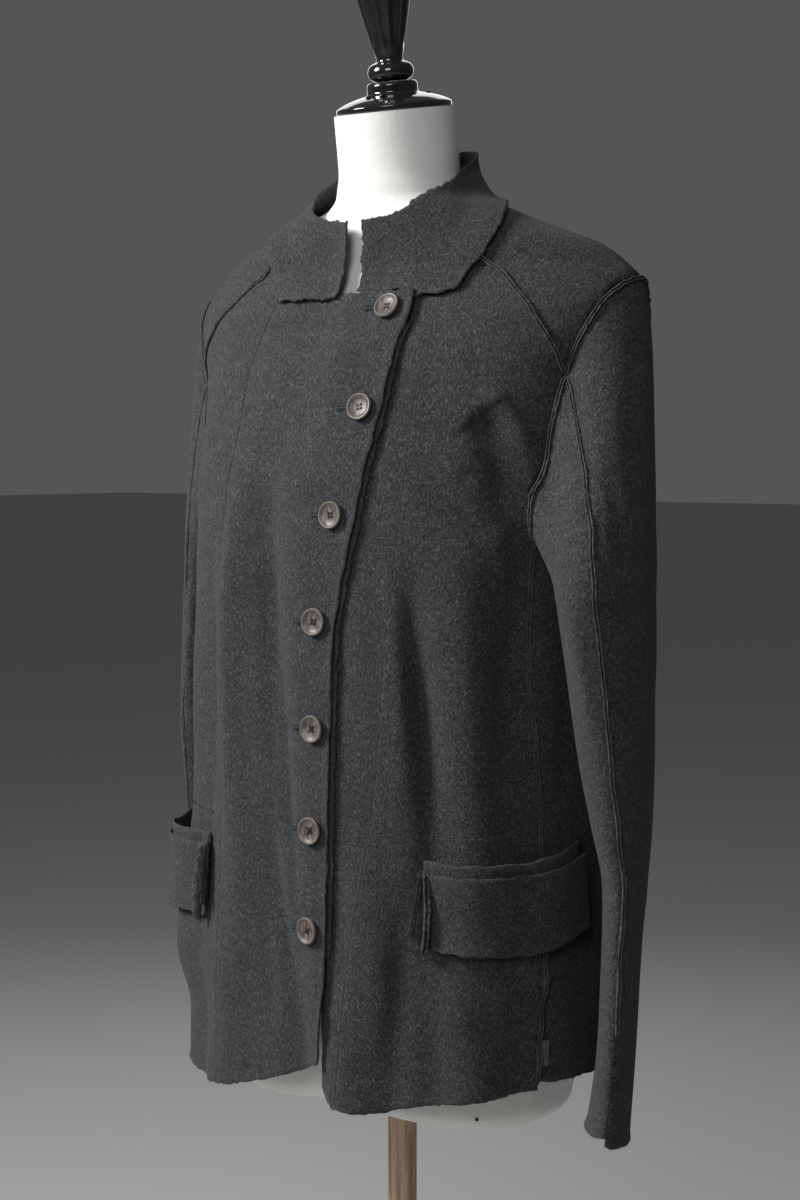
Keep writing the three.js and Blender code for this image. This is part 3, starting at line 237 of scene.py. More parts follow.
FORM = table(
    "z wide front back square shift",
    (630, 136, 88, 92, 2.1, 0), (634, 149, 100, 104, 2.1, 0), (645, 158, 107, 112, 2.1, 0),
    (700, 165, 111, 117, 2.15, 0), (790, 166, 109, 116, 2.15, 0), (900, 146, 98, 100, 2.1, 0),
    (1000, 121, 88, 84, 2.1, 0), (1080, 128, 97, 89, 2.15, 1), (1150, 145, 115, 93, 2.2, 4),
    (1210, 161, 112, 90, 2.25, 12), (1270, 181, 93, 82, 2.2, 17), (1304, 191, 79, 74, 2.0, 18),
    (1326, 196, 74, 65, 1.75, 17.5), (1336.7, 190, 71, 60, 1.8, 16), (1352.2, 151, 69, 57, 1.9, 13),
    (1363.4, 123, 66, 54, 2.0, 11), (1372, 95, 63, 52, 2.0, 8), (1379, 71, 57, 52.5, 2.0, 3),
    (1389, 58, 52, 54, 2.0, -2), (1410, 52, 51, 51, 2.0, -4), (1461, 51, 51, 51, 2.0, -11))

LAYER = 3.0                   # from the middle of one layer of cloth to the middle of the next
UNDERARM_Z, SHOULDER_Z, CUFF_Z, VENT_TOP_Z = 1108, 1315, 626, 704
NECK_LEAN, NECK_FORWARD, NECK_TOP_Z = 9, 11, 1461
CLOTH_NODES_LIFT = 1.2        # the collar stands this much further off than one layer


# ---- small helpers ----
def lerp(a, b, t):
    return a + (b - a) * t


def clamp(t):
    return np.clip(t, 0, 1)


def smooth(a, b, v):
    t = clamp((v - a) / (b - a))
    return t * t * (3 - 2 * t)


def wrap(turn):
    return (turn + 180) % 360 - 180


def unit(v):
    return v / np.maximum(np.linalg.norm(v, axis=-1, keepdims=True), 1e-9)


def closer(t):
    return 1 - (1 - t) ** 1.3


def even(t):
    return t


def column(rows, key, name, at):
    """A column of a table as a smooth curve of another column that never overshoots its rows."""
    keys, values = rows[key], rows[name]
    at = np.clip(at, keys[0], keys[-1])
    i = np.clip(np.searchsorted(keys, at, side="left") - 1, 0, len(keys) - 2)
    slope = np.diff(values) / np.diff(keys)
    inner = np.where(slope[:-1] * slope[1:] > 0,
                     2 * slope[:-1] * slope[1:] / np.where(slope[:-1] * slope[1:] > 0,
                                                           slope[:-1] + slope[1:], 1),
                     0)
    tangent = np.concatenate([slope[:1], inner, slope[-1:]])
    h = (keys[1:] - keys[:-1])[i]
    t = (at - keys[i]) / h
    return (values[i] * (1 + 2 * t) * (1 - t) ** 2 + tangent[i] * h * t * (1 - t) ** 2
            + values[i + 1] * t * t * (3 - 2 * t) + tangent[i + 1] * h * t * t * (t - 1))


def ripple(run, seed, wave):
    """An uneven wave of about -1 to 1 along a run in mm."""
    random = np.random.default_rng(seed)
    total = np.zeros(np.shape(run))
    for _ in range(6):
        total += np.sin(2 * np.pi * run / (wave * random.uniform(0.55, 1.9)) + random.uniform(0, 6.28))
    return total / 3


def settings():
    return bpy.context.scene.cardigan_cloth


def colours():
    return bpy.context.scene.cardigan_colours


# ---- the body surface ----
MM_PER_DEGREE = 2.75          # about how far apart two turns lie on the body


def crease_reach(turn, z):
    """Reach of the listed creases: each is a soft trough or ridge along a bent line."""
    out = np.zeros(z.shape)
    for t0, z0, t1, z1, t2, z2, reach, width in zip(*CREASES.values()):
        t = np.linspace(0, 1, 7)
        ends = (1 - t) ** 2, 2 * t * (1 - t), t ** 2
        mid_turn, mid_z = 2 * t1 - (t0 + t2) / 2, 2 * z1 - (z0 + z2) / 2
        line_x = (t0 * ends[0] + mid_turn * ends[1] + t2 * ends[2])
        line_z = (z0 * ends[0] + mid_z * ends[1] + z2 * ends[2])
        away = wrap(turn - line_x[3])
        near = (np.abs(away) * MM_PER_DEGREE < 3 * width + np.ptp(line_x) * MM_PER_DEGREE) \
            & (z > line_z.min() - 3 * width) & (z < line_z.max() + 3 * width)
        if not near.any():
            continue
        x = (away[near] + line_x[3]) * MM_PER_DEGREE
        y = z[near]
        best, place = np.full(x.shape, 1e9), np.zeros(x.shape)
        for k in range(6):
            ax, ay = line_x[k] * MM_PER_DEGREE, line_z[k]
            bx, by = line_x[k + 1] * MM_PER_DEGREE - ax, line_z[k + 1] - ay
            f = clamp(((x - ax) * bx + (y - ay) * by) / (bx * bx + by * by))
            d = np.hypot(x - ax - f * bx, y - ay - f * by)
            closer_one = d < best
            best = np.where(closer_one, d, best)
            place = np.where(closer_one, (k + f) / 6, place)
        swell = smooth(0, 0.3, place) * (1 - smooth(0.55, 1, place)) * 1.15
        out[near] += reach * np.exp(-(best / width) ** 2) * swell
    return out * settings().crease_depth


def fold_reach(turn, z):
    out = np.zeros(z.shape)
    for f_turn, f_z, top_turn, top_z, reach, width in zip(*FOLDS.values()):
        t = clamp((z - f_z) / (top_z - f_z))
        away = wrap(turn - lerp(f_turn, top_turn, t)) / (width * lerp(1, 0.6, t))
        out += reach * np.exp(-away * away) * (1 - t) * (1 + t) * smooth(top_z, top_z - 60, z)
    for p_turn, reach, low, full, fade, high in zip(*POCKET_BULGES.values()):
        away = wrap(turn - p_turn) / BULGE_WIDTH
        out += reach * np.exp(-away * away) * smooth(low, full, z) * (1 - smooth(fade, high, z))
    waves = 0
    for k, (round_it, rise, phase) in enumerate(((5, 61, 0.4), (7, -83, 1.9), (9, 47, 4.1), (12, -58, 2.7),
                                                 (16, 39, 5.3))):
        waves = waves + np.sin(round_it * turn * DEG + z / rise + phase) / (1 + 0.3 * k)
    calm = 1 - smooth(1230, 1290, z)
    return out + crease_reach(turn, z) + waves * settings().unevenness / MM * 0.5 * calm


def section(rows, turn, z, reach=0.0):
    s, c = np.sin(turn * DEG), np.cos(turn * DEG)
    part = {name: column(rows, "z", name, z) for name in ("wide", "front", "back", "square", "shift")}
    depth = np.where(c > 0, part["front"], part["back"])
    n = part["square"]
    r = ((np.abs(s) / part["wide"]) ** n + (np.abs(c) / depth) ** n) ** (-1 / n) + reach
    return np.stack([r * s, part["shift"] - r * c], -1)


def body_point(turn, z):
    turn, z = np.broadcast_arrays(np.asarray(turn, float), np.asarray(z, float))
    flat = section(SECTIONS, turn, z, fold_reach(turn, z))
    return np.concatenate([flat, z[..., None]], -1)


def body_normal(turn, z):
    across = body_point(turn + 0.6, z) - body_point(turn - 0.6, z)
    up = body_point(turn, z + 1.5) - body_point(turn, z - 1.5)
    return unit(np.cross(across, up))


def right_front_lift(turn, z):
    return 2 * LAYER * smooth(-24, 2, turn - column(CLIMB, "z", "turn", z))


# ---- edges: functions of t from 0 to 1 that give turn and z ----
def seam(rows, low=None):
    start = rows["z"][0] if low is None else low

    def at(t):
        z = lerp(start, rows["z"][-1], closer(t))
        return column(rows, "z", "turn", z), z
    return at


def steps(rows, spacing=None):
    """Through the rows of a table in turn, evenly by row, or by length on the body."""
    count = len(rows["turn"])
    numbered = dict(rows, k=np.arange(count, dtype=float))
    fine = np.linspace(0, count - 1, 24 * (count - 1) + 1)
    if spacing is None:
        return lambda t: tuple(column(numbered, "k", name, t * (count - 1)) for name in ("turn", "z"))
    places = section(SECTIONS, column(numbered, "k", "turn", fine), column(numbered, "k", "z", fine))
    places = np.concatenate([places, column(numbered, "k", "z", fine)[:, None]], -1)
    run = np.concatenate([[0], np.cumsum(np.linalg.norm(np.diff(places, axis=0), axis=1))])

    def at(t):
        k = np.interp(run[-1] * spacing(t), run, fine)
        return column(numbered, "k", "turn", k), column(numbered, "k", "z", k)
    return at


def corners(*rows):
    return steps(table("turn z", *rows), even)


def level(rows, start, end):
    def at(t):
        turn = lerp(start, end, t)
        return turn, column(rows, "turn", "z", turn)
    return at


def joined(*parts):
    """Several edges one after another: each with the t at which it ends."""
    def at(t):
        turn, z = np.zeros(np.shape(t)), np.zeros(np.shape(t))
        before = 0.0
        for edge, until in parts:
            here = (t >= before) if before == 0 else (t > before)
            a, b = edge(clamp((t - before) / (until - before)))
            turn, z = np.where(here, a, turn), np.where(here, b, z)
            before = until
        return turn, z
    return at


def backwards(edge):
    return lambda t: edge(1 - t)


def turned(edge, to=lambda turn: -turn):
    def at(t):
        turn, z = edge(t)
        return to(turn), z
    return at


def patch(low, high, start, end, across, up):
    """Turn and z of a panel between four edges: low and high run with the turn."""
    s, w = np.linspace(0, 1, across + 1), np.linspace(0, 1, up + 1)
    lo, hi, st, en = (np.array(edge(t)) for edge, t in ((low, s), (high, s), (start, w), (end, w)))
    s, w = s[None, None, :], w[None, :, None]
    turn, z = (lerp(st[:, :, None], en[:, :, None], s) + lerp(lo[:, None, :], hi[:, None, :], w)
               - lerp(lerp(lo[:, None, :1], lo[:, None, -1:], s),
                      lerp(hi[:, None, :1], hi[:, None, -1:], s), w))
    return turn, z


# ---- meshes ----
def mesh_object(name, points, faces, material, smooth_faces=True, outwards=False):
    """A mesh object in metres from points in mm."""
    mesh = bpy.data.meshes.new(name)
    mesh.from_pydata((np.asarray(points) * MM).tolist(), [], faces)
    mesh.materials.append(material)
    if outwards:
        work = bmesh.new()
        work.from_mesh(mesh)
        bmesh.ops.recalc_face_normals(work, faces=work.faces)
        work.to_mesh(mesh)
        work.free()
    mesh.polygons.foreach_set("use_smooth", [smooth_faces] * len(mesh.polygons))
    mesh.update()
    obj = bpy.data.objects.new(name, mesh)
    bpy.context.scene.collection.objects.link(obj)
    return obj


def float_attribute(obj, name, values):
    layer = obj.data.attributes.new(name, "FLOAT", "POINT")
    layer.data.foreach_set("value", np.asarray(values, float).ravel())


EDGE_NAMES = ("low", "end", "high", "start")
SEAM_INSET = 0.15


def shell(name, middle, normal, raw, material, seed=1, curl=1.0, fray=1.0):
    """A closed wall of wool about a grid of middle points. raw names its free edges."""
    cloth = settings()
    half = cloth.thickness / MM / 2
    middle = middle.copy()
    rows, cols = middle.shape[:2]
    edge_distance = np.full((rows, cols), 1e3)
    for k, edge in enumerate(EDGE_NAMES):
        view = {"low": middle, "high": middle[::-1], "start": middle.transpose(1, 0, 2),
                "end": middle[:, ::-1].transpose(1, 0, 2)}[edge]
        normals = {"low": normal, "high": normal[::-1], "start": normal.transpose(1, 0, 2),
                   "end": normal[:, ::-1].transpose(1, 0, 2)}[edge]
        inwards = unit(view[1] - view[0])
        if edge not in raw:
            view[0] += inwards * SEAM_INSET
            continue
        run = np.concatenate([[0], np.cumsum(np.linalg.norm(np.diff(view[0], axis=0), axis=1))])
        wander = ripple(run, seed * 10 + k, 5) * 0.55 + ripple(run, seed * 10 + k + 5, 26) * 0.7
        depth = np.concatenate([[0], np.cumsum(np.linalg.norm(np.diff(view[:, view.shape[1] // 2], axis=0),
                                                              axis=1))])
        lifted = (ripple(run, seed * 10 + k + 7, 60) * 0.5 + 0.6) * cloth.curl / MM * curl
        for i in range(min(8, view.shape[0] // 3)):
            if depth[i] > 9:
                break
            fade = (1 - depth[i] / 9)
            view[i] += normals[i] * (lifted * fade ** 2)[:, None]
            view[i] -= inwards * (wander * fray * cloth.fray / MM * fade ** 3)[:, None]
        far = depth[:, None] * np.ones(view.shape[1])[None, :]
        distance = {"low": edge_distance, "high": edge_distance[::-1], "start": edge_distance.T,
                    "end": edge_distance[:, ::-1].T}[edge]
        np.minimum(distance, far, out=distance)
    outer, inner = middle + normal * half, middle - normal * half
    index = np.arange(rows * cols).reshape(rows, cols)
    loop = np.concatenate([index[0, :-1], index[:-1, -1], index[-1, :0:-1], index[:0:-1, 0]])
    kind = ["low"] * (cols - 1) + ["end"] * (rows - 1) + ["high"] * (cols - 1) + ["start"] * (rows - 1)
    flat_middle = middle.reshape(-1, 3)
    inside = np.concatenate([index[1, :-1], index[:-1, -2], index[-2, :0:-1], index[:0:-1, 1]])
    outdir = unit(flat_middle[loop] - flat_middle[inside])
    bulge = np.array([0.5 * half if edge in raw else 0.0 for edge in kind])[:, None]
    rim = flat_middle[loop] + outdir * bulge
    points = np.concatenate([outer.reshape(-1, 3), inner.reshape(-1, 3), rim])
    count = rows * cols
    a, b = index[:-1, :-1].ravel(), index[:-1, 1:].ravel()
    c, d = index[1:, 1:].ravel(), index[1:, :-1].ravel()
    ring = np.arange(len(loop)) + 2 * count
    after, ring_after = np.roll(loop, -1), np.roll(ring, -1)
    faces = np.concatenate([
        np.stack([a, b, c, d], 1), np.stack([a, d, c, b], 1) + count,
        np.stack([after, loop, ring, ring_after], 1),
        np.stack([ring_after, ring, loop + count, after + count], 1)])
    obj = mesh_object(name, points, faces.tolist(), material)
    near = np.exp(-edge_distance.ravel() / 2.2)
    float_attribute(obj, "edge", np.concatenate([near, near, near[loop] * 1.0 + 0.0]))
    return obj, middle


def swept(sections):
    """Points and faces of a closed solid through loops of points."""
    count, around = sections.shape[:2]
    index = np.arange(count * around).reshape(count, around)
    after = np.roll(index, -1, axis=1)
    sides = np.stack([index[:-1], after[:-1], after[1:], index[1:]], -1).reshape(-1, 4).tolist()
    return sections.reshape(-1, 3), sides + [index[0, ::-1].tolist(), index[-1].tolist()]


def gathered(pieces):
    """Joins several lists of points and faces into one."""
    points, faces, start = [], [], 0
    for p, f in pieces:
        points.append(p)
        faces += [[i + start for i in face] for face in f]
        start += len(p)
    return np.concatenate(points), faces


def sheet(middle):
    """Turns the middle points of a piece of cloth into metres; nothing is kept or given back."""
    middle = middle * MM


def place(obj, slot, *nodes):
    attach(obj, "root")
    if nodes:
        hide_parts(*nodes)
    return obj


def counts(width, tall):
    """Steps across and up for a panel of that size in mm."""
    step = settings().mesh_step / MM
    return max(4, round(width / step)), max(4, round(tall / (step * 1.35)))


# ---- shading ----
def add_node(tree, kind, values=None, **options):
    """A node with its options and its inputs, which are values or the outputs of other nodes."""
    made = tree.nodes.new(kind)
    for name, value in options.items():
        setattr(made, name, value)
    for key, value in (values or {}).items():
        if isinstance(value, bpy.types.NodeSocket):
            tree.links.new(value, made.inputs[key])
        else:
            made.inputs[key].default_value = value
    return made


def math_node(tree, operation, a, b=0.0, clamp_it=False):
    return add_node(tree, "ShaderNodeMath", {0: a, 1: b}, operation=operation, use_clamp=clamp_it).outputs[0]


def band(tree, value, low, high):
    """0 below low, 1 above high."""
    return add_node(tree, "ShaderNodeMapRange", {0: value, 1: low, 2: high}, clamp=True,
                    interpolation_type="SMOOTHSTEP").outputs[0]


def blend(tree, factor, a, b, kind="MIX"):
    made = add_node(tree, "ShaderNodeMix", {0: factor, 6: a, 7: b}, data_type="RGBA", blend_type=kind)
    return made.outputs[2]


def streaks(tree, coordinate, direction, along, across, detail=1.0):
    """Noise drawn out in one direction, as fibres are."""
    turned_to = add_node(tree, "ShaderNodeMapping", {0: coordinate, 2: direction}, vector_type="POINT")
    scaled = add_node(tree, "ShaderNodeMapping", {0: turned_to.outputs[0], 3: (across, across, along)},
                      vector_type="POINT")
    return add_node(tree, "ShaderNodeTexNoise", {"Vector": scaled.outputs[0], "Scale": 1.0, "Detail": detail,
                                                 "Roughness": 0.55}).outputs[0]


def new_group(name, inputs, outputs):
    """An empty node group with those sockets, its input node and its output node."""
    tree = bpy.data.node_groups.new(name, "ShaderNodeTree")
    for label, kind, default in inputs:
        made = tree.interface.new_socket(label, in_out="INPUT", socket_type=kind)
        made.default_value = default
    for label, kind in outputs:
        tree.interface.new_socket(label, in_out="OUTPUT", socket_type=kind)
    return tree, tree.nodes.new("NodeGroupInput").outputs, tree.nodes.new("NodeGroupOutput").inputs


def felt_group():
    """Melange of ground, pale and dark fibres, with a matted surface."""
    tree, given, result = new_group(
        "Boiled wool",
        [("Ground", "NodeSocketColor", (0.04, 0.04, 0.04, 1)),
         ("Pale", "NodeSocketColor", (0.2, 0.2, 0.2, 1)),
         ("Dark", "NodeSocketColor", (0.01, 0.01, 0.01, 1)), ("Pale share", "NodeSocketFloat", 0.5),
         ("Fibre length", "NodeSocketFloat", 0.004)],
        [("Colour", "NodeSocketColor"), ("Height", "NodeSocketFloat")])
    where = add_node(tree, "ShaderNodeTexCoord").outputs["Object"]
    layers = []
    for k, direction in enumerate(((0.25, 0.1, 0.0), (-0.5, 0.35, 0.6), (0.9, -0.4, 1.2), (1.35, 0.5, -0.7))):
        layers.append(streaks(tree, where, direction, 240 + 30 * k, 760 + 90 * k, 2.0))
    felt = math_node(tree, "ADD", layers[0], layers[1])
    felt = math_node(tree, "MULTIPLY", math_node(tree, "ADD", felt,
                                                 math_node(tree, "ADD", layers[2], layers[3])),
                     0.25)
    curls = add_node(tree, "ShaderNodeTexNoise", {"Vector": where, "Scale": 560.0, "Detail": 3.0,
                                                  "Roughness": 0.65, "Distortion": 1.4}).outputs[0]
    broad = add_node(tree, "ShaderNodeTexNoise", {"Vector": where, "Scale": 34.0, "Detail": 4.0,
                                                  "Roughness": 0.6}).outputs[0]
    ground = blend(tree, band(tree, curls, 0.36, 0.60), given["Dark"], given["Ground"])
    pale_one = band(tree, layers[0], 0.53, 0.63)
    pale_two = band(tree, layers[2], 0.54, 0.64)
    pale = math_node(tree, "MULTIPLY", math_node(tree, "MAXIMUM", pale_one, pale_two), given["Pale share"])
    pale = math_node(tree, "MULTIPLY", pale, band(tree, curls, 0.3, 0.75))
    dark = math_node(tree, "MAXIMUM", band(tree, layers[1], 0.57, 0.68), band(tree, layers[3], 0.58, 0.7))
    mixed = blend(tree, pale, ground, given["Pale"])
    mixed = blend(tree, math_node(tree, "MULTIPLY", dark, 0.6), mixed, given["Dark"])
    shade = math_node(tree, "ADD", math_node(tree, "MULTIPLY", broad, 0.5), 0.75)
    tint = add_node(tree, "ShaderNodeCombineColor", {0: shade, 1: shade, 2: shade}).outputs[0]
    tree.links.new(blend(tree, 1.0, mixed, tint, "MULTIPLY"), result["Colour"])
    height = math_node(tree, "ADD", math_node(tree, "MULTIPLY", felt, 1.4),
                       math_node(tree, "MULTIPLY", curls, 0.7))
    tree.links.new(math_node(tree, "ADD", height, math_node(tree, "MULTIPLY", broad, 0.5)), result["Height"])
    return tree


def grain_group():
    """Long wood grain along Z with pores."""
    tree, given, result = new_group(
        "Wood grain",
        [("Light", "NodeSocketColor", (0.5, 0.3, 0.2, 1)), ("Deep", "NodeSocketColor", (0.3, 0.2, 0.1, 1))],
        [("Colour", "NodeSocketColor"), ("Height", "NodeSocketFloat"), ("Roughness", "NodeSocketFloat")])
    where = add_node(tree, "ShaderNodeTexCoord").outputs["Object"]
    long_grain = streaks(tree, where, (0.02, 0.03, 0.0), 6, 190, 3.0)
    pores = streaks(tree, where, (0.0, 0.0, 0.4), 60, 1900, 1.0)
    wood = blend(tree, band(tree, long_grain, 0.38, 0.66), given["Light"], given["Deep"])
    wood = blend(tree, math_node(tree, "MULTIPLY", band(tree, pores, 0.6, 0.72), 0.55), wood, given["Deep"])
    tree.links.new(wood, result["Colour"])
    tree.links.new(math_node(tree, "ADD", math_node(tree, "MULTIPLY", pores, -0.6), long_grain),
                   result["Height"])
    tree.links.new(math_node(tree, "ADD", math_node(tree, "MULTIPLY", long_grain, 0.2), 0.32),
                   result["Roughness"])
    return tree


def jersey_group():
    """Fine jersey: a small regular knit with slubs."""
    tree, given, result = new_group(
        "Jersey", [("Cover", "NodeSocketColor", (0.8, 0.8, 0.8, 1))],
        [("Colour", "NodeSocketColor"), ("Height", "NodeSocketFloat")])
    where = add_node(tree, "ShaderNodeTexCoord").outputs["Object"]
    knit = add_node(tree, "ShaderNodeTexVoronoi", {"Vector": where, "Scale": 900.0},
                    feature="SMOOTH_F1").outputs[0]
    slub = streaks(tree, where, (0.1, 0.0, 0.0), 60, 420, 2.0)
    stain = add_node(tree, "ShaderNodeTexNoise", {"Vector": where, "Scale": 9.0, "Detail": 5.0}).outputs[0]
    shade = math_node(tree, "ADD", math_node(tree, "MULTIPLY", slub, 0.10),
                      math_node(tree, "MULTIPLY", stain, 0.08))
    shade = math_node(tree, "ADD", shade, 0.90)
    tint = add_node(tree, "ShaderNodeCombineColor",
                    {0: shade, 1: shade, 2: math_node(tree, "MULTIPLY", shade, 0.992)}).outputs[0]
    tree.links.new(blend(tree, 1.0, given["Cover"], tint, "MULTIPLY"), result["Colour"])
    tree.links.new(math_node(tree, "ADD", knit, math_node(tree, "MULTIPLY", slub, 0.8)), result["Height"])
    return tree


def gloss_group():
    """Even paint or lacquer with faint handling marks."""
    tree, given, result = new_group(
        "Handled gloss", [("Paint", "NodeSocketColor", (0.02, 0.02, 0.02, 1)),
                          ("Gloss", "NodeSocketFloat", 0.1)],
        [("Colour", "NodeSocketColor"), ("Roughness", "NodeSocketFloat"), ("Height", "NodeSocketFloat")])
    where = add_node(tree, "ShaderNodeTexCoord").outputs["Object"]
    cloud = add_node(tree, "ShaderNodeTexNoise", {"Vector": where, "Scale": 22.0, "Detail": 6.0}).outputs[0]
    dust = add_node(tree, "ShaderNodeTexNoise", {"Vector": where, "Scale": 700.0, "Detail": 2.0}).outputs[0]
    spread = math_node(tree, "MULTIPLY", band(tree, cloud, 0.45, 0.75), 0.12)
    tree.links.new(math_node(tree, "ADD", spread, given["Gloss"]), result["Roughness"])
    speck = math_node(tree, "MULTIPLY", band(tree, dust, 0.70, 0.76), 0.25)
    tree.links.new(blend(tree, speck, given["Paint"], (0.12, 0.12, 0.12, 1)), result["Colour"])
    tree.links.new(dust, result["Height"])
    return tree


GROUPS = {"Boiled wool": felt_group, "Wood grain": grain_group, "Jersey": jersey_group,
          "Handled gloss": gloss_group}


def group_node(tree, name, **values):
    made = tree.nodes.new("ShaderNodeGroup")
    made.node_tree = bpy.data.node_groups.get(name) or GROUPS[name]()
    for key, value in values.items():
        socket = made.inputs[key.replace("_", " ").capitalize()]
        if isinstance(value, bpy.types.NodeSocket):
            tree.links.new(value, socket)
        else:
            socket.default_value = (*value, 1) if hasattr(value, "__len__") else value
    return made.outputs


def new_material(name, **constants):
    """A material with its Principled shader; constants are set on the shader's own sockets."""
    made = bpy.data.materials.new(name)
    made.use_nodes = True
    tree = made.node_tree
    shader = tree.nodes["Principled BSDF"]
    for key, value in constants.items():
        shader.inputs[key.replace("_", " ")].default_value = value
    return made, tree, shader


def bump(tree, shader, height, strength, distance):
    made = add_node(tree, "ShaderNodeBump", {"Height": height, "Strength": strength, "Distance": distance})
    tree.links.new(made.outputs[0], shader.inputs["Normal"])


def wool_material():
    found = bpy.data.materials.get("Wool")
    if found:
        return found
    c = colours()
    made, tree, shader = new_material("Wool", Roughness=0.95, Sheen_Weight=0.10, Sheen_Roughness=0.55,
                                      Sheen_Tint=(0.62, 0.63, 0.66, 1), IOR=1.35)
    felt = group_node(tree, "Boiled wool", ground=c.wool, pale=c.wool_pale, dark=c.wool_dark, pale_share=0.62)
    edge = add_node(tree, "ShaderNodeAttribute", attribute_name="edge").outputs["Fac"]
    worn = blend(tree, math_node(tree, "MULTIPLY", edge, 0.10), felt["Colour"], (*c.wool_pale, 1))
    tree.links.new(worn, shader.inputs["Base Color"])
    bump(tree, shader, felt["Height"], 0.9, 0.0016)
    return made


def plain_material(name, group, bump_strength, bump_depth, constants, **values):
    """A material whose colour, roughness and height all come from one node group."""
    found = bpy.data.materials.get(name)
    if found:
        return found
    made, tree, shader = new_material(name, **constants)
    out = group_node(tree, group, **values)
    tree.links.new(out["Colour"], shader.inputs["Base Color"])
    if "Roughness" in out:
        tree.links.new(out["Roughness"], shader.inputs["Roughness"])
    bump(tree, shader, out["Height"], bump_strength, bump_depth)
    return made


def horn_material():
    found = bpy.data.materials.get("Horn")
    if found:
        return found
    c = colours()
    made, tree, shader = new_material("Horn", Roughness=0.4, Specular_IOR_Level=0.4, Coat_Weight=0.1,
                                      Coat_Roughness=0.25)
    where = add_node(tree, "ShaderNodeTexCoord").outputs["Object"]
    veins = streaks(tree, where, (0.4, 0.2, 0.9), 90, 420, 4.0)
    rim = add_node(tree, "ShaderNodeAttribute", attribute_name="rim").outputs["Fac"]
    body = blend(tree, band(tree, veins, 0.36, 0.70), (*c.horn, 1), (*c.horn_pale, 1))
    body = blend(tree, math_node(tree, "MULTIPLY", rim, 0.85), body, (*c.horn_pale, 1))
    # Painted shade: in and just round the four holes the colour goes near black, where shade falls inside
    # them.
    deep = add_node(tree, "ShaderNodeAttribute", attribute_name="deep").outputs["Fac"]
    body = blend(tree, deep, body, (0.012, 0.010, 0.009, 1))
    tree.links.new(body, shader.inputs["Base Color"])
    tree.links.new(math_node(tree, "ADD", math_node(tree, "MULTIPLY", veins, 0.2), 0.36),
                   shader.inputs["Roughness"])
    bump(tree, shader, veins, 0.15, 0.0004)
    return made


def thread_material():
    c = colours()
    return plain_material("Thread", "Boiled wool", 0.3, 0.0003,
                          {"Roughness": 0.8, "Sheen_Weight": 0.2},
                          ground=c.thread, pale=c.wool, dark=c.wool_dark, pale_share=0.4)


def tag_material():
    c = colours()
    return plain_material("Tag", "Jersey", 0.4, 0.0003, {"Roughness": 0.75, "Sheen_Weight": 0.1}, cover=c.tag)


def form_material():
    c = colours()
    return plain_material("Form cover", "Jersey", 0.25, 0.0003,
                          {"Roughness": 0.88, "Sheen_Weight": 0.15, "Sheen_Roughness": 0.5},
                          cover=c.form_cover)


def lacquer_material():
    c = colours()
    return plain_material("Lacquer", "Handled gloss", 0.03, 0.0002,
                          {"Coat_Weight": 0.6, "Coat_Roughness": 0.04}, paint=c.lacquer, gloss=0.09)


def beech_material():
    c = colours()
    return plain_material("Beech", "Wood grain", 0.2, 0.0003, {"Coat_Weight": 0.15, "Coat_Roughness": 0.3},
                          light=c.beech, deep=c.beech_dark)


def base_material():
    c = colours()
    return plain_material("Base coat", "Handled gloss", 0.25, 0.0003, {"Metallic": 0.0}, paint=c.base,
                          gloss=0.38)


# ---- cloth pieces ----
YOKE_FRONT_EDGE = steps(YOKE_FRONT, closer)
YOKE_BACK_EDGE = steps(YOKE_BACK, closer)


def body_piece(name, edges, size, raw, lift=None, seed=1, curl=1.0):
    turn, z = patch(*edges, *counts(*size))
    normal = body_normal(turn, z)
    middle = body_point(turn, z)
    if lift is not None:
        middle = middle + normal * lift(turn, z)[..., None]
    obj, middle = shell(name, middle, normal, raw, wool_material(), seed, curl)
    place(obj, "wool", name)
    sheet(middle)
    return obj


def side_edges(panel_seam, hem_rows, hem_end):
    """The edges of a side front on the wearer's left: low, high, start and end."""
    side_turn = float(column(SIDE_SEAM, "z", "turn", np.array(hem_end)))
    start_turn, start_z = panel_seam["turn"][0], panel_seam["z"][0]
    hem = corners((start_turn, start_z), *hem_rows, (side_turn, hem_end))
    side = joined((seam(SIDE_SEAM, hem_end), 0.7), (steps(ARMHOLE_FRONT, even), 1))
    neck = corners((panel_seam["turn"][-1], panel_seam["z"][-1]), (61.5, 1337))
    top = joined((neck, 2 / 9), (backwards(YOKE_FRONT_EDGE), 1))
    return hem, top, seam(panel_seam), side


def flipped(rows):
    return dict(rows, turn=-rows["turn"])


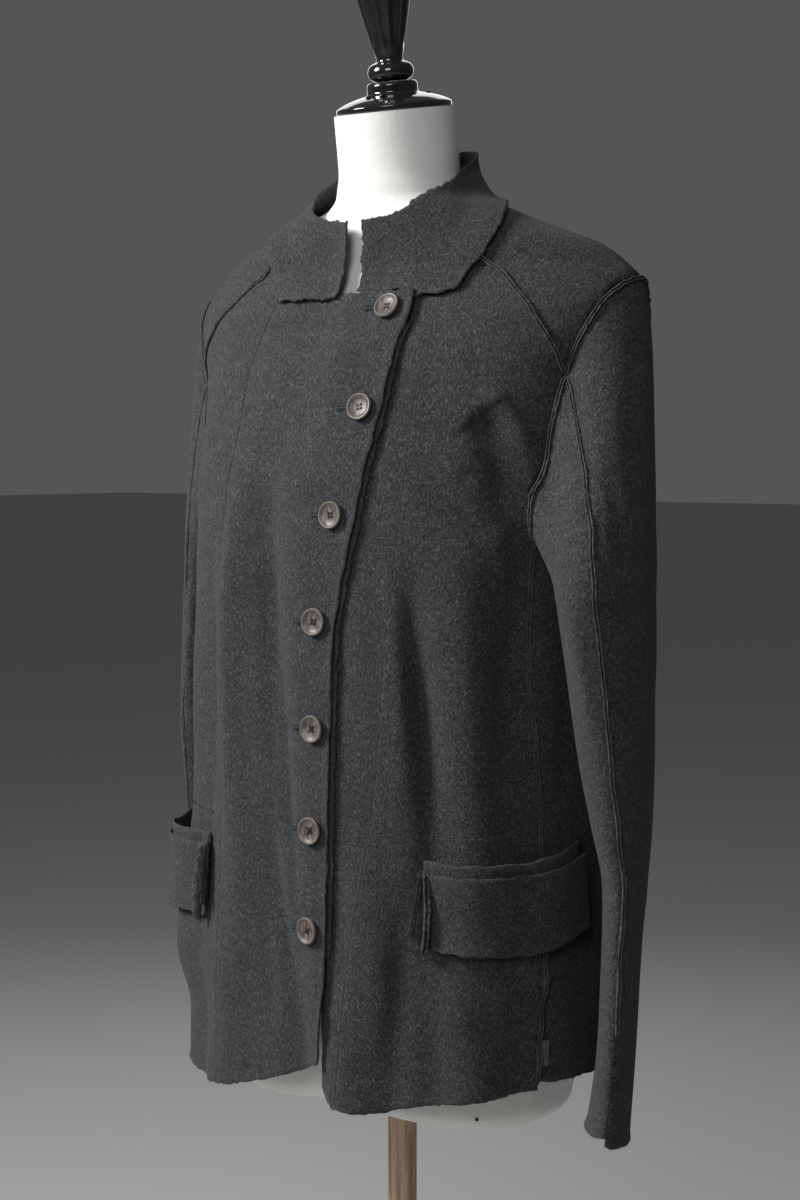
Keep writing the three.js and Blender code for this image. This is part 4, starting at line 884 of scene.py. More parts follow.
class CARDIGAN_OT_fronts(Operator):
    """Right and left fronts, each of a centre and a side panel, and the strip under the closing edge"""

    bl_idname = "cardigan.fronts"
    bl_label = "Fronts"

    def execute(self, context):
        inner = table("turn z", (-49, 1316), *[(t, lerp(1303, 1309, float(smooth(4, 30, -t)))) for t in
                                               (-43, -35, -27, -19, -12, -5, 0, 5, 12, 20, 30)], (38.9, 1303))
        body_piece("front_right_centre",
                   (level(HEM, -36, 11.4), steps(inner), seam(RIGHT_PANEL_SEAM), seam(CLOSURE)),
                   (150, 670), ("low", "end", "high"), right_front_lift, 2)
        low, high, start, end = side_edges(flipped(RIGHT_PANEL_SEAM), [(49, 635)], 640)
        body_piece("front_right_side",
                   (backwards(turned(low)), backwards(turned(high)), turned(end), turned(start)),
                   (120, 690), ("low",), None, 3)
        body_piece("front_left_centre",
                   (corners((10.6, 656), (12.7, 649), (16, 642)),
                    corners((17, 1310), (33, 1313), (49.5, 1318)),
                    seam(UNDER_EDGE), seam(LEFT_PANEL_SEAM)), (90, 680), ("low", "start", "high"), None, 4,
                   curl=0.3)
        body_piece("front_left_side", side_edges(LEFT_PANEL_SEAM, [(26, 641), (43, 651), (63, 661)], 665),
                   (150, 690), ("low",), None, 5)

        def inner_edge(t):
            z = lerp(765, 1276, t)
            return column(CLIMB, "z", "turn", z) + 3.5, z

        def outer_edge(t):
            z = lerp(765, 1276, t)
            return column(CLOSURE, "z", "turn", z) + 1.2 + ripple(z, 91, 24) * 0.2 + ripple(z, 93,
                                                                                            7) * 0.16, z

        def across(t_end):
            (a, z), (b, _) = inner_edge(np.array(t_end)), outer_edge(np.array(t_end))
            return lambda t: (lerp(a, b, t), z + t * 0)
        body_piece("front_facing_right", (across(0.0), across(1.0), inner_edge, outer_edge), (40, 511),
                   ("low", "end", "high", "start"), lambda turn, z: LAYER + 0 * z, 6,
                   curl=0.15)
        return {"FINISHED"}


class CARDIGAN_OT_back(Operator):
    """Back in one piece, and the two shoulder yokes"""

    bl_idname = "cardigan.back"
    bl_label = "Back and yokes"

    def execute(self, context):
        behind = lambda turn: 360 - turn
        left = joined((seam(SIDE_SEAM, 670), 0.7), (steps(ARMHOLE_BACK, even), 1))
        right = turned(joined((seam(SIDE_SEAM, 645), 0.7), (steps(ARMHOLE_BACK, even), 1)), behind)
        low_left, low_right = (float(column(SIDE_SEAM, "z", "turn", np.array(z))) for z in (670, 645))
        hem = corners((low_left, 670), (108, 671), (180, 666), (252, 662), (360 - low_right, 645))
        top = joined((YOKE_BACK_EDGE, 0.35), (steps(NECKLINE_BACK, even), 0.65),
                     (backwards(turned(YOKE_BACK_EDGE, behind)), 1))
        body_piece("back", (hem, top, left, right), (480, 730), ("low",), None, 8)
        yoke = (steps(ARMHOLE_TOP, even), steps(NECKLINE_SHOULDER, even), YOKE_FRONT_EDGE, YOKE_BACK_EDGE)
        body_piece("yoke_left", yoke, (110, 150), (), None, 9)
        mirrored = [backwards(turned(edge)) for edge in yoke[:2]] + [turned(yoke[3]), turned(yoke[2])]
        body_piece("yoke_right", mirrored, (110, 150), (), None, 10)
        return {"FINISHED"}


# ---- collar ----
COLLAR_TURNS = (53.5, 57.5, 62, 66.6, 71, 76.5, 83, 91, 101, 114, 130, 146, 163, 180)
COLLAR_LIFT = LAYER + CLOTH_NODES_LIFT


def collar_columns():
    def low_z(t):
        return float(column(COLLAR_LOW, "turn", "z", np.array(t)))
    left = [(5.3, 7.2, 1304.6), (13, 13, 1304.6), (23, 23, 1304.6), (32, 32, 1304.6), (39.4, 39, 1304.6),
            (40.2, 41, 1299)] + [(t, t, low_z(t)) for t in COLLAR_TURNS]
    right = [(-8.8, -1.5, 1299)] + [(t, t + 2, 1300) for t in (-17, -25, -33, -41)]
    right += [(4 * float(smooth(120, 60, t)) - t, -t, low_z(t)) for t in COLLAR_TURNS[:-1]]
    rows = left + [(a + 360, b + 360, z) for a, b, z in reversed(right)]
    return table("low high low_z k", *[(*row, k) for k, row in enumerate(rows)])


# Soft trough and roll along the collar's sides: reach in mm, place and width as shares of its height.
COLLAR_WAVES = ((-2.3, 0.56, 0.2), (0.9, 0.14, 0.14))
COLLAR_FRAY = 1.9             # its raw edges wander this much more than the others


class CARDIGAN_OT_collar(Operator):
    """Stand collar with square tabs at the front"""

    bl_idname = "cardigan.collar"
    bl_label = "Collar"

    def execute(self, context):
        rows = collar_columns()
        k = np.linspace(0, rows["k"][-1], 300)
        low, high, low_z = (column(rows, "k", name, k) for name in ("low", "high", "low_z"))
        high_z = column(COLLAR_TOP, "turn", "z", np.abs(wrap(high)))
        w = np.linspace(0, 1, 30)[:, None]
        turn = lerp(low, high, w) + 0 * w
        z = lerp(low_z, high_z, w)
        lift = COLLAR_LIFT + np.where(turn > 180, right_front_lift(turn - 360, z), 0)
        away = np.abs(wrap(turn))
        sides = smooth(8, 24, away) * (1 - smooth(62, 95, away))
        for reach, across, wide in COLLAR_WAVES:
            lift = lift + reach * np.exp(-((w - across) / wide) ** 2) * sides
        normal = body_normal(turn, z)
        middle = body_point(turn, z) + normal * lift[..., None]
        obj, middle = shell("collar", middle, normal, ("low", "high", "start", "end"), wool_material(), 12,
                            0.7, COLLAR_FRAY)
        place(obj, "wool", "collar")
        sheet(middle)
        return {"FINISHED"}


# ---- sleeves ----
def sleeve_ring(rows, z, angle):
    part = {name: column(rows, "z", name, z) for name in ("x", "y", "long", "short", "turn")}
    a, b = part["long"] * np.cos(angle * DEG), part["short"] * np.sin(angle * DEG)
    s, c = np.sin(part["turn"] * DEG), np.cos(part["turn"] * DEG)
    return np.stack([part["x"] + a * s + b * c, part["y"] - a * c + b * s, z + 0 * a], -1)


ARMHOLE_UPPER = steps(ARMHOLE_TOP, even)
ARMHOLE_UNDER = steps(table("turn z", *list(zip(*ARMHOLE_BACK.values()))[::-1],
                            *list(zip(*ARMHOLE_FRONT.values()))[1:]), even)


def sleeve_crease(angle, z, seed):
    """Reach of the creases of a sleeve at an angle round it."""
    out = np.zeros(np.broadcast(angle, z).shape)
    shift = 0 if seed == 0 else 17
    for a0, z0, a1, z1, reach, width in zip(*SLEEVE_CREASES.values()):
        a0, a1 = a0 + shift, a1 + shift
        ax, bx, by = a0 * 0.9, (a1 - a0) * 0.9, z1 - z0
        x = (((angle - a0 + 180) % 360) - 180 + a0) * 0.9
        f = clamp(((x - ax) * bx + (z - z0) * by) / (bx * bx + by * by))
        d = np.hypot(x - ax - f * bx, z - z0 - f * by)
        out += reach * np.exp(-(d / width) ** 2) * smooth(0, 0.3, f) * (1 - smooth(0.6, 1, f)) * 1.15
    waves = np.sin(2 * angle * DEG + z / 37 + seed) + np.sin(3 * angle * DEG - z / 29 + 2 + seed) \
        + np.sin(5 * angle * DEG + z / 23 + 4)
    return (out + waves * 0.25) * settings().crease_depth


def sleeve_point(rows, q, u, vent, seed=0):
    """A point of a sleeve: q from 0 at the armhole over 1 at the underarm to 2 at the cuff; u from 0 to 1
    round the upper half, then to 2 round the under half. vent says whether the cuff's slit is open."""
    q, u = np.broadcast_arrays(np.asarray(q, float), np.asarray(u, float))
    u = u % 2
    under = u >= 1
    s = np.where(under, u - 1, u)
    angle = np.where(under, lerp(172, 368, s), lerp(8, 172, s))
    rise = 10 if not vent else np.where(under, 8 + 10 * s, 12 * (1 - s) ** 2)
    slit = 0 if not vent else np.where(under, -10.5 * s ** 3, -9 * (1 - s))
    low_z = lerp(1064, CUFF_Z + rise, clamp(q - 1))
    low_angle = angle + slit * smooth(VENT_TOP_Z, CUFF_Z, low_z)
    tube = sleeve_ring(rows, low_z, low_angle)
    upper, lower = ARMHOLE_UPPER(s), ARMHOLE_UNDER(s)
    turn, z = np.where(under, lower[0], upper[0]), np.where(under, lower[1], upper[1])
    height = clamp((z - UNDERARM_Z) / (SHOULDER_Z - UNDERARM_Z))
    lapped = np.where(turn > 95, 1 - smooth(0.3, 0.62, height), 1 - smooth(0.05, 0.4, height))
    start = body_point(turn, z) + body_normal(turn, z) * (3 * lapped)[..., None]
    end = sleeve_ring(rows, 1064 + 0 * angle, angle)
    t = clamp(q)[..., None]
    span = np.linalg.norm(end - start, axis=-1)[..., None]
    height = height[..., None]
    out = np.concatenate([lerp(0.45, 0.6, height), 0 * height, lerp(-0.9, -0.8, height)], -1)
    at_start = 2 * t ** 3 - 3 * t ** 2 + 1
    cap = (start + out * 2.3) * at_start + out * (t ** 3 - 2 * t ** 2 + t) * span * lerp(0.7, 0.17, height) \
        + end * (1 - at_start) + np.array([0, 0, -1.0]) * (t ** 3 - t ** 2) * span * 0.8
    point = np.where((q > 1)[..., None], tube, cap)
    where = (point - np.array([235, -10, 0])) * np.array([1, 1, 0])
    fade = smooth(0, 0.35, q) * (1 - 0.6 * smooth(1.85, 2, q))
    return point + unit(where) * (sleeve_crease(angle, point[..., 2], seed) * fade)[..., None]


def sleeve_frame(rows, q, u, vent, seed=0):
    """Point and outward normal of a sleeve."""
    across = sleeve_point(rows, q, u + 0.02, False, seed) - sleeve_point(rows, q, u - 0.02, False, seed)
    rise = sleeve_point(rows, np.maximum(q - 0.01, 0), u, False, seed) \
        - sleeve_point(rows, np.minimum(q + 0.01, 2), u, False, seed)
    return sleeve_point(rows, q, u, vent, seed), unit(np.cross(across, rise))


class CARDIGAN_OT_sleeves(Operator):
    """Sleeves of an upper and an under half, with an open vent at each cuff"""

    bl_idname = "cardigan.sleeves"
    bl_label = "Sleeves"

    def execute(self, context):
        for hand, rows, side, seed in (("left", LEFT_SLEEVE, 1, 0), ("right", RIGHT_SLEEVE, -1, 1)):
            for half, first in (("upper", 0), ("under", 1)):
                across, up = counts(185, 620)
                q = np.linspace(2, 0, up + 1)[:, None]
                u = np.linspace(first, first + 1 - 1e-7, across + 1)[None, :]
                middle, normal = sleeve_frame(rows, q + 0 * u, u + 0 * q, True, seed)
                if side < 0:
                    middle, normal = (v[:, ::-1] * np.array([-1, 1, 1]) for v in (middle, normal))
                name = f"sleeve_{hand}_{half}"
                obj, middle = shell(name, middle, normal, ("low",), wool_material(), 20 + first + 4 * seed,
                                    1, 0.5)
                place(obj, "wool", name)
                sheet(middle)
        return {"FINISHED"}


# ---- pockets ----
POCKET_FROM, POCKET_TO, POCKET_MOUTH_Z, POCKET_FLOOR_Z, CUFF_DEPTH = 42.5, 85.5, 850, 790, 61


def pocket_gape(s, z):
    return 13 * np.sin(np.pi * clamp(s)) ** 0.7 * smooth(POCKET_FLOOR_Z, POCKET_MOUTH_Z, z)


def lip_z(s):
    return POCKET_MOUTH_Z - 2 * np.sin(np.pi * s) + 12 * smooth(0.6, 1, s)


def pocket_place(piece, side, s, v):
    """Turn, z and lift of a pocket bag or of its turned cuff at s along it and v up it."""
    inset = 1.4 if piece == "bag" else 0.0
    if piece == "bag":
        z = lerp(POCKET_FLOOR_Z, lip_z(s), v)
        lift = LAYER + pocket_gape(s, z)
    else:
        top = lip_z(s) - 10
        z = lerp(top - CUFF_DEPTH, top, v)
        down = (top - z) / CUFF_DEPTH
        lift = 2 * LAYER + pocket_gape(s, z) + 3 * np.sin(np.pi * s) * down
    turn = side * lerp(POCKET_FROM + inset, POCKET_TO - inset, s)
    return turn, z, lift


class CARDIGAN_OT_pockets(Operator):
    """Pocket bags and their turned cuffs"""

    bl_idname = "cardigan.pockets"
    bl_label = "Pockets"

    def execute(self, context):
        for hand, side in (("left", 1), ("right", -1)):
            for piece, name, tall in (("bag", f"pocket_{hand}", 64), ("cuff", f"pocket_cuff_{hand}", 61)):
                across, up = counts(150, tall * 1.4)
                s, v = np.linspace(0, 1, across + 1)[None, :], np.linspace(0, 1, up + 1)[:, None]
                s, v = s + 0 * v, v + 0 * s
                turn, z, lift = pocket_place(piece, side, s, v)
                normal = body_normal(turn, z)
                middle = body_point(turn, z) + normal * lift[..., None]
                if side < 0:
                    middle, normal = middle[:, ::-1], normal[:, ::-1]
                raw = ("high",) if piece == "bag" else ("low", "high", "start", "end")
                obj, middle = shell(name, middle, normal, raw, wool_material(), 30 + side + len(name), 0.6)
                place(obj, "wool", name)
                sheet(middle)
        return {"FINISHED"}


POCKET_LINE = corners((44.5, 866), (48.5, 866), (59.8, 868), (72.5, 877))


# ---- raised raw seam allowances ----
def raised_seam(points, normals, height, lean, sway, seed, thickness=1.45, gap=0.3, lift=0.9):
    """Two raw edges of wool that stand up side by side along a seam."""
    along = unit(np.gradient(points, axis=0))
    side = unit(np.cross(normals, along))
    run = np.concatenate([[0], np.cumsum(np.linalg.norm(np.diff(points, axis=0), axis=1))])
    ends = smooth(0, 4, run) * smooth(0, 4, run[-1] - run) * 0.55 + 0.45
    pieces = []
    for k, hand in enumerate((-1, 1)):
        tall = height * (0.86 + 0.16 * ripple(run, seed + k, 9) + 0.10 * ripple(run, seed + 7 + k, 31)) * ends
        drift = lean + sway * ripple(run, seed + 3, 46) + 0.25 * ripple(run, seed + 5 + k, 8)
        loop = []
        for u, f in ((-1, 0), (-1, 0.5), (-0.85, 0.9), (0, 1.08), (0.85, 0.9), (1, 0.5), (1, 0), (0, -0.15)):
            sideways = hand * (gap + thickness / 2 - 0.15 + 0.5 * f * f) + drift * f * f + u * thickness / 2
            loop.append(points + normals * (lift + tall * f)[:, None] + side * (sideways * ends)[:, None])
        pieces.append(swept(np.stack(loop, 1)))
    return gathered(pieces)


def on_body(edge, lift=0.0, count=200):
    turn, z = edge(np.linspace(0, 1, count))
    normal = body_normal(turn, z)
    return body_point(turn, z) + normal * lift, normal


def mirrored_line(points, normals):
    flip = np.array([-1, 1, 1])
    return points * flip, normals * flip


class CARDIGAN_OT_seams(Operator):
    """Raw seam allowances that stand up along the seams, and the fanned layers at the pocket cuffs"""

    bl_idname = "cardigan.seams"
    bl_label = "Raised seams"

    def execute(self, context):
        height = settings().seam_height / MM
        groups = {"seams_body": [], "seams_shoulders": [], "seams_sleeves": [], "pocket_cuff_layers": []}
        for side in (1, -1):
            mirror = (lambda line: line) if side > 0 else (lambda line: mirrored_line(*line))
            below = seam(dict(SIDE_SEAM), 642 if side < 0 else 668)

            def part(edge, low, high):
                return lambda t: edge(lerp(low, high, t))
            side_line = on_body(turned(below, lambda turn: side * turn), 0, 360)
            tall = height * 1.15 * (0.45 + 0.55 * smooth(800, 770, side_line[0][:, 2]))
            low_share = 0.35 + 0.65 * smooth(800, 770, side_line[0][:, 2])
            groups["seams_body"].append(raised_seam(*side_line, tall, 0.4 * side, 3.6 * low_share,
                                                    40 + side, 1.5,
                                                    0.2))
            panel = seam(LEFT_PANEL_SEAM) if side > 0 else seam(RIGHT_PANEL_SEAM)
            groups["seams_body"].append(raised_seam(*on_body(panel, 0, 360),
                                                    height * (0.2 if side > 0 else 0.1), 0.2, 0.2,
                                                    50 + side, 0.7, 0.12, 0.75))
            share = 1.0 if side > 0 else 0.5
            yoke = mirror(on_body(part(YOKE_FRONT_EDGE, 0, 0.985), 0, 130))
            groups["seams_shoulders"].append(raised_seam(*yoke, height * share, 0.9 * side, 0.7, 60 + side,
                                                         1.5))
            rear = mirror(on_body(YOKE_BACK_EDGE, 0, 160))
            groups["seams_shoulders"].append(raised_seam(*rear, height * 0.85, -0.7 * side, 0.6, 70 + side,
                                                         1.5))
            rows = LEFT_SLEEVE if side > 0 else RIGHT_SLEEVE
            u = np.linspace(0, 2, 420)
            ring = mirror(sleeve_frame(rows, np.full(u.shape, 0.012), u, False))
            groups["seams_shoulders"].append(raised_seam(*ring, height * 0.9 * share, -1.0, 0.6, 80 + side,
                                                         1.5,
                                                         0.25, 0.7))
            for place_u, q_end, part_share in ((0.0, 1.8, 0.6), (1.0, 1.98, 0.35)):
                q = np.linspace(0.02, q_end, 400)
                line = mirror(sleeve_frame(rows, q, np.full(q.shape, place_u), False))
                groups["seams_sleeves"].append(raised_seam(*line, height * part_share * share, 0.5, 0.7,
                                                           90 + side, 1.2, 0.4, 0.8))
            pocket_line = turned(POCKET_LINE, lambda turn: side * turn)
            groups["seams_body"].append(raised_seam(*on_body(pocket_line, 0, 160), height * 0.16, 0.1, 0.1,
                                                    120 + side, 1.3, 0.1, 0.7))
            for k, (top_turn, low_turn, low_z, tall, thick) in enumerate((
                    (43.0, 41.4, 788, 4.2, 1.3), (43.9, 44.6, 774, 6.6, 2.4))):
                t = np.linspace(0, 1, 60)
                z = lerp(842, low_z, t)
                turn = side * (lerp(top_turn, low_turn, t ** 1.4) + 1.1 * np.sin(np.pi * t) * k)
                normal = body_normal(turn, z)
                lift = 6.6 + 3.2 * np.sin(np.pi * t * 0.8)
                points = body_point(turn, z) + normal * lift[:, None]
                groups["pocket_cuff_layers"].append(
                    raised_seam(points, normal, tall, (2 * k - 1) * 1.1 * side, 0.5, 110 + k + side, thick,
                                0.2, -0.6))
        for name, pieces in groups.items():
            obj = mesh_object(name, *gathered(pieces), wool_material(), outwards=True)
            float_attribute(obj, "edge", np.full(len(obj.data.vertices), 1.6))
            place(obj, "wool")
        return {"FINISHED"}


# ---- fibres ----
HAIR_BASE = 0.11              # radius of a fibre at its root, in mm


class CARDIGAN_OT_fibres(Operator):
    """Loose fibres of the nap, close along the raw edges and sparse over the cloth"""

    bl_idname = "cardigan.fibres"
    bl_label = "Loose fibres"

    def execute(self, context):
        random = np.random.default_rng(settings().seed + 11)
        pieces = [o for o in context.scene.objects if o.type == "MESH" and "edge" in o.data.attributes
                  and not o.name.startswith("seams")]
        pieces.sort(key=lambda o: o.name)
        places, normals, weights = [], [], []
        for obj in pieces:
            count = len(obj.data.vertices)
            values = [np.zeros(count * 3), np.zeros(count * 3), np.zeros(count)]
            obj.data.vertices.foreach_get("co", values[0])
            obj.data.vertices.foreach_get("normal", values[1])
            obj.data.attributes["edge"].data.foreach_get("value", values[2])
            places.append(values[0].reshape(-1, 3) / MM)
            normals.append(values[1].reshape(-1, 3))
            weights.append(values[2])
        places, normals, weights = np.concatenate(places), np.concatenate(normals), np.concatenate(weights)
        chance = np.where(weights > 0.9, 1.0, 0.035)
        picked = random.choice(len(places), settings().hairs, p=chance / chance.sum())
        at = places[picked] + random.uniform(-1.1, 1.1, (len(picked), 3)) * 0.5
        out = normals[picked]
        loose = weights[picked] > 0.9
        way = unit(out * np.where(loose, 0.7, 0.35)[:, None] + random.normal(0, 0.5, at.shape)
                   + np.array([0, 0, -0.35]))
        way = unit(way + out * np.maximum(0, 0.15 - (way * out).sum(1))[:, None])
        tall = random.uniform(1.0, 2.6, len(at)) * np.where(loose, 1.0, 0.8)
        one = unit(np.cross(way, random.normal(0, 1, at.shape)))
        two = np.cross(way, one)
        root = at - out * 0.35
        points = [root + HAIR_BASE * (one * math.cos(a) + two * math.sin(a)) for a in (0, 2.094, 4.189)]
        points.append(root + way * (tall + 0.35)[:, None])
        points = np.stack(points, 1).reshape(-1, 3)
        first = np.arange(len(at))[:, None] * 4
        faces = np.concatenate([first + np.array(f) for f in ((0, 1, 3), (1, 2, 3), (2, 0, 3), (2, 1, 0))])
        obj = mesh_object("loose_fibres", points, faces.tolist(), wool_material())
        float_attribute(obj, "edge", np.repeat(random.uniform(0, 4, len(at)), 4))
        place(obj, "wool")
        return {"FINISHED"}


# ---- tag ----
TAG_TURN, TAG_Z, TAG_HEIGHT, TAG_LIFT = 73.9, 694.0, 21.0, 2.4


class CARDIGAN_OT_tag(Operator):
    """Small blank woven tag, folded, in the left side seam"""

    bl_idname = "cardigan.tag"
    bl_label = "Side tag"

    def execute(self, context):
        up = np.linspace(-TAG_HEIGHT / 2, TAG_HEIGHT / 2, 22)
        turn, z = np.array(TAG_TURN), np.array(TAG_Z)
        normal = body_normal(turn, z)
        centre = body_point(turn, z) + normal * TAG_LIFT
        side = unit(np.cross(np.array([0, 0, 1.0]), normal))
        top = unit(np.cross(normal, side))
        loops = []
        for h in up:
            bend = 0.25 * math.sin(h * 0.31)
            loop = [(-3.4, -0.55), (2.6, -0.75), (3.4, -0.35), (3.55, 0.1), (3.4, 0.5), (2.6, 0.8),
                    (-3.4, 0.55)]
            loops.append([centre + side * (a + 0.12 * math.sin(h * 1.3)) + normal * (b + bend) + top * h
                          for a, b in loop])
        points, faces = swept(np.array(loops))
        obj = mesh_object("tag", points, faces, tag_material(), outwards=True)
        place(obj, "tag", "side_tag")
        return {"FINISHED"}


# ---- buttons ----
BUTTON_RADIUS, BUTTON_THICKNESS = 11.25, 4.6
HOLE_RADIUS, HOLE_PLACE = 0.95, 1.6


def button_mesh():
    """A dished button with four real holes, its axis along Z."""
    r, t = BUTTON_RADIUS, BUTTON_THICKNESS
    profile = [(0, 0), (r * 0.72, 0), (r * 0.86, t * 0.12), (r * 0.96, t * 0.4), (r, t * 0.66),
               (r * 0.975, t * 0.9),
               (r * 0.93, t), (r * 0.87, t * 0.98), (r * 0.82, t * 0.84), (r * 0.72, t * 0.66),
               (r * 0.55, t * 0.55), (r * 0.3, t * 0.48), (0, t * 0.46)]
    angle = np.linspace(0, 2 * np.pi, 57)[:-1]
    loops = np.array([[(a * math.cos(b), a * math.sin(b), h) for b in angle] for a, h in profile[1:-1]])
    points, faces = swept(loops)
    body = mesh_object("button_blank", points, faces, horn_material(), outwards=True)
    cutters = []
    for x in (-HOLE_PLACE, HOLE_PLACE):
        for y in (-HOLE_PLACE, HOLE_PLACE):
            ring = np.linspace(0, 2 * np.pi, 17)[:-1]
            cutters.append(swept(np.array([[(x + HOLE_RADIUS * math.cos(b), y + HOLE_RADIUS * math.sin(b), h)
                                            for b in ring] for h in (-1.0, 5.5)])))
    tool = mesh_object("button_drill", *gathered(cutters), horn_material(), outwards=True)
    drill = body.modifiers.new("Holes", "BOOLEAN")
    drill.object, drill.operation, drill.solver = tool, "DIFFERENCE", "EXACT"
    made = bpy.data.meshes.new_from_object(body.evaluated_get(bpy.context.evaluated_depsgraph_get()))
    for obj in (body, tool):
        bpy.data.objects.remove(obj)
    return made


def placed_at(points, turn, z, lift, spin=0.0):
    """Points about the origin, moved onto the body with their Z along its normal and Y up it."""
    turn, z = np.array(turn, float), np.array(z, float)
    normal = body_normal(turn, z)
    side = unit(np.cross(np.array([0, 0, 1.0]), normal))
    top = unit(np.cross(normal, side))
    c, s = math.cos(spin), math.sin(spin)
    x, y = points[:, 0] * c - points[:, 1] * s, points[:, 0] * s + points[:, 1] * c
    return body_point(turn, z) + normal * lift + x[:, None] * side + y[:, None] * top + points[:,
                                                                                               2:3] * normal


class CARDIGAN_OT_buttons(Operator):
    """Seven four-hole buttons with their thread"""

    bl_idname = "cardigan.buttons"
    bl_label = "Buttons"

    def execute(self, context):
        blank = button_mesh()
        count = len(blank.vertices)
        points = np.zeros(count * 3)
        blank.vertices.foreach_get("co", points)
        points = points.reshape(-1, 3) / MM
        far = np.hypot(points[:, 0], points[:, 1])
        rim = smooth(BUTTON_RADIUS * 0.72, BUTTON_RADIUS * 0.88, far)
        holes = np.hypot(np.abs(points[:, 0]) - HOLE_PLACE, np.abs(points[:, 1]) - HOLE_PLACE)
        # Mask of the painted shade in the holes: each hole and a thin ring round it.
        deep = 1.0 * (holes < HOLE_RADIUS + 0.3)
        random = np.random.default_rng(settings().seed)
        threads = []
        for k, (turn, z) in enumerate(zip(BUTTONS["turn"], BUTTONS["z"])):
            mesh = blank.copy()
            lift = float(right_front_lift(np.array(turn), np.array(z))) + 1.1 + 0.6
            spin = random.uniform(-0.3, 0.3)
            moved = placed_at(points, turn, z, lift, spin) * MM
            mesh.vertices.foreach_set("co", moved.ravel())
            mesh.materials.clear()
            mesh.materials.append(horn_material())
            mesh.polygons.foreach_set("use_smooth", [True] * len(mesh.polygons))
            obj = bpy.data.objects.new(f"horn_button_{k + 1}", mesh)
            context.scene.collection.objects.link(obj)
            float_attribute(obj, "rim", rim)
            float_attribute(obj, "deep", deep)
            mesh.set_sharp_from_angle(angle=0.7)
            mesh.update()
            place(obj, "horn", f"button_{k + 1}")
            for y in (-HOLE_PLACE, HOLE_PLACE):
                for strand in (-0.22, 0.22):
                    along = np.linspace(-HOLE_PLACE, HOLE_PLACE, 9)
                    arch = 1.62 + 0.5 * np.sqrt(np.maximum(0, 1 - (along / HOLE_PLACE) ** 2))
                    ring = np.linspace(0, 2 * np.pi, 7)[:-1]
                    loop = np.array([[(a, y + strand + 0.2 * math.cos(b),
                                       h + 0.2 * math.sin(b)) for b in ring]
                                     for a, h in zip(along, arch)])
                    body, faces = swept(loop)
                    threads.append((placed_at(body, turn, z, lift, spin), faces))
            shank = np.array([[(1.5 * math.cos(b), 1.5 * math.sin(b), h) for b in np.linspace(0, 2 * np.pi,
                                                                                              13)[:-1]]
                              for h in (-1.4, -0.2, 0.3)])
            body, faces = swept(shank)
            threads.append((placed_at(body, turn, z, lift), faces))
        obj = mesh_object("button_thread", *gathered(threads), thread_material(), outwards=True)
        place(obj, "wool")
        return {"FINISHED"}


# ---- rows of stitches, by geometry nodes ----
def stitch_nodes():
    """Rows of thread stitches along the edges of a mesh line."""
    tree = bpy.data.node_groups.new("Stitch rows", "GeometryNodeTree")
    tree.interface.new_socket("Geometry", in_out="INPUT", socket_type="NodeSocketGeometry")
    tree.interface.new_socket("Geometry", in_out="OUTPUT", socket_type="NodeSocketGeometry")
    for label, kind, default in (("Stitch length", "NodeSocketFloat", 0.0026),
                                 ("Spacing", "NodeSocketFloat", 0.0036),
                                 ("Thread radius", "NodeSocketFloat", 0.00025), ("Seed", "NodeSocketInt", 3),
                                 ("Upright", "NodeSocketFloat", 0.0)):
        socket = tree.interface.new_socket(label, in_out="INPUT", socket_type=kind)
        socket.default_value = default
    tree.interface.new_socket("Material", in_out="INPUT", socket_type="NodeSocketMaterial")
    given, result = tree.nodes.new("NodeGroupInput").outputs, tree.nodes.new("NodeGroupOutput").inputs
    line = add_node(tree, "GeometryNodeMeshToCurve", {"Mesh": given["Geometry"]}).outputs[0]
    spaced = add_node(tree, "GeometryNodeResampleCurve", {"Curve": line, "Length": given["Spacing"]},
                      mode="LENGTH")
    tangent = add_node(tree, "GeometryNodeInputTangent").outputs[0]
    across = add_node(tree, "ShaderNodeVectorMath", {0: tangent, 1: (0, 0, 1)},
                      operation="CROSS_PRODUCT").outputs[0]
    upright = add_node(tree, "ShaderNodeVectorMath", {0: across, 1: tangent},
                       operation="CROSS_PRODUCT").outputs[0]
    way = add_node(tree, "ShaderNodeMix", {0: given["Upright"], 4: tangent, 5: upright},
                   data_type="VECTOR").outputs[1]
    turn_to = add_node(tree, "FunctionNodeAlignRotationToVector", {"Vector": way}, axis="Z").outputs[0]
    stitch = add_node(tree, "GeometryNodeMeshCylinder", {"Vertices": 6, "Radius": given["Thread radius"],
                                                         "Depth": given["Stitch length"]},
                      fill_type="TRIANGLE_FAN").outputs[0]
    size = add_node(tree, "FunctionNodeRandomValue", {2: 0.82, 3: 1.12, "Seed": given["Seed"]},
                    data_type="FLOAT").outputs[1]
    points = add_node(tree, "GeometryNodeCurveToPoints", {"Curve": spaced.outputs[0]},
                      mode="EVALUATED").outputs[0]
    placed = add_node(tree, "GeometryNodeInstanceOnPoints", {"Points": points, "Instance": stitch,
                                                             "Rotation": turn_to, "Scale": size}).outputs[0]
    real = add_node(tree, "GeometryNodeRealizeInstances", {0: placed}).outputs[0]
    shaded = add_node(tree, "GeometryNodeSetMaterial",
                      {"Geometry": real, "Material": given["Material"]}).outputs[0]
    tree.links.new(shaded, result["Geometry"])
    return tree


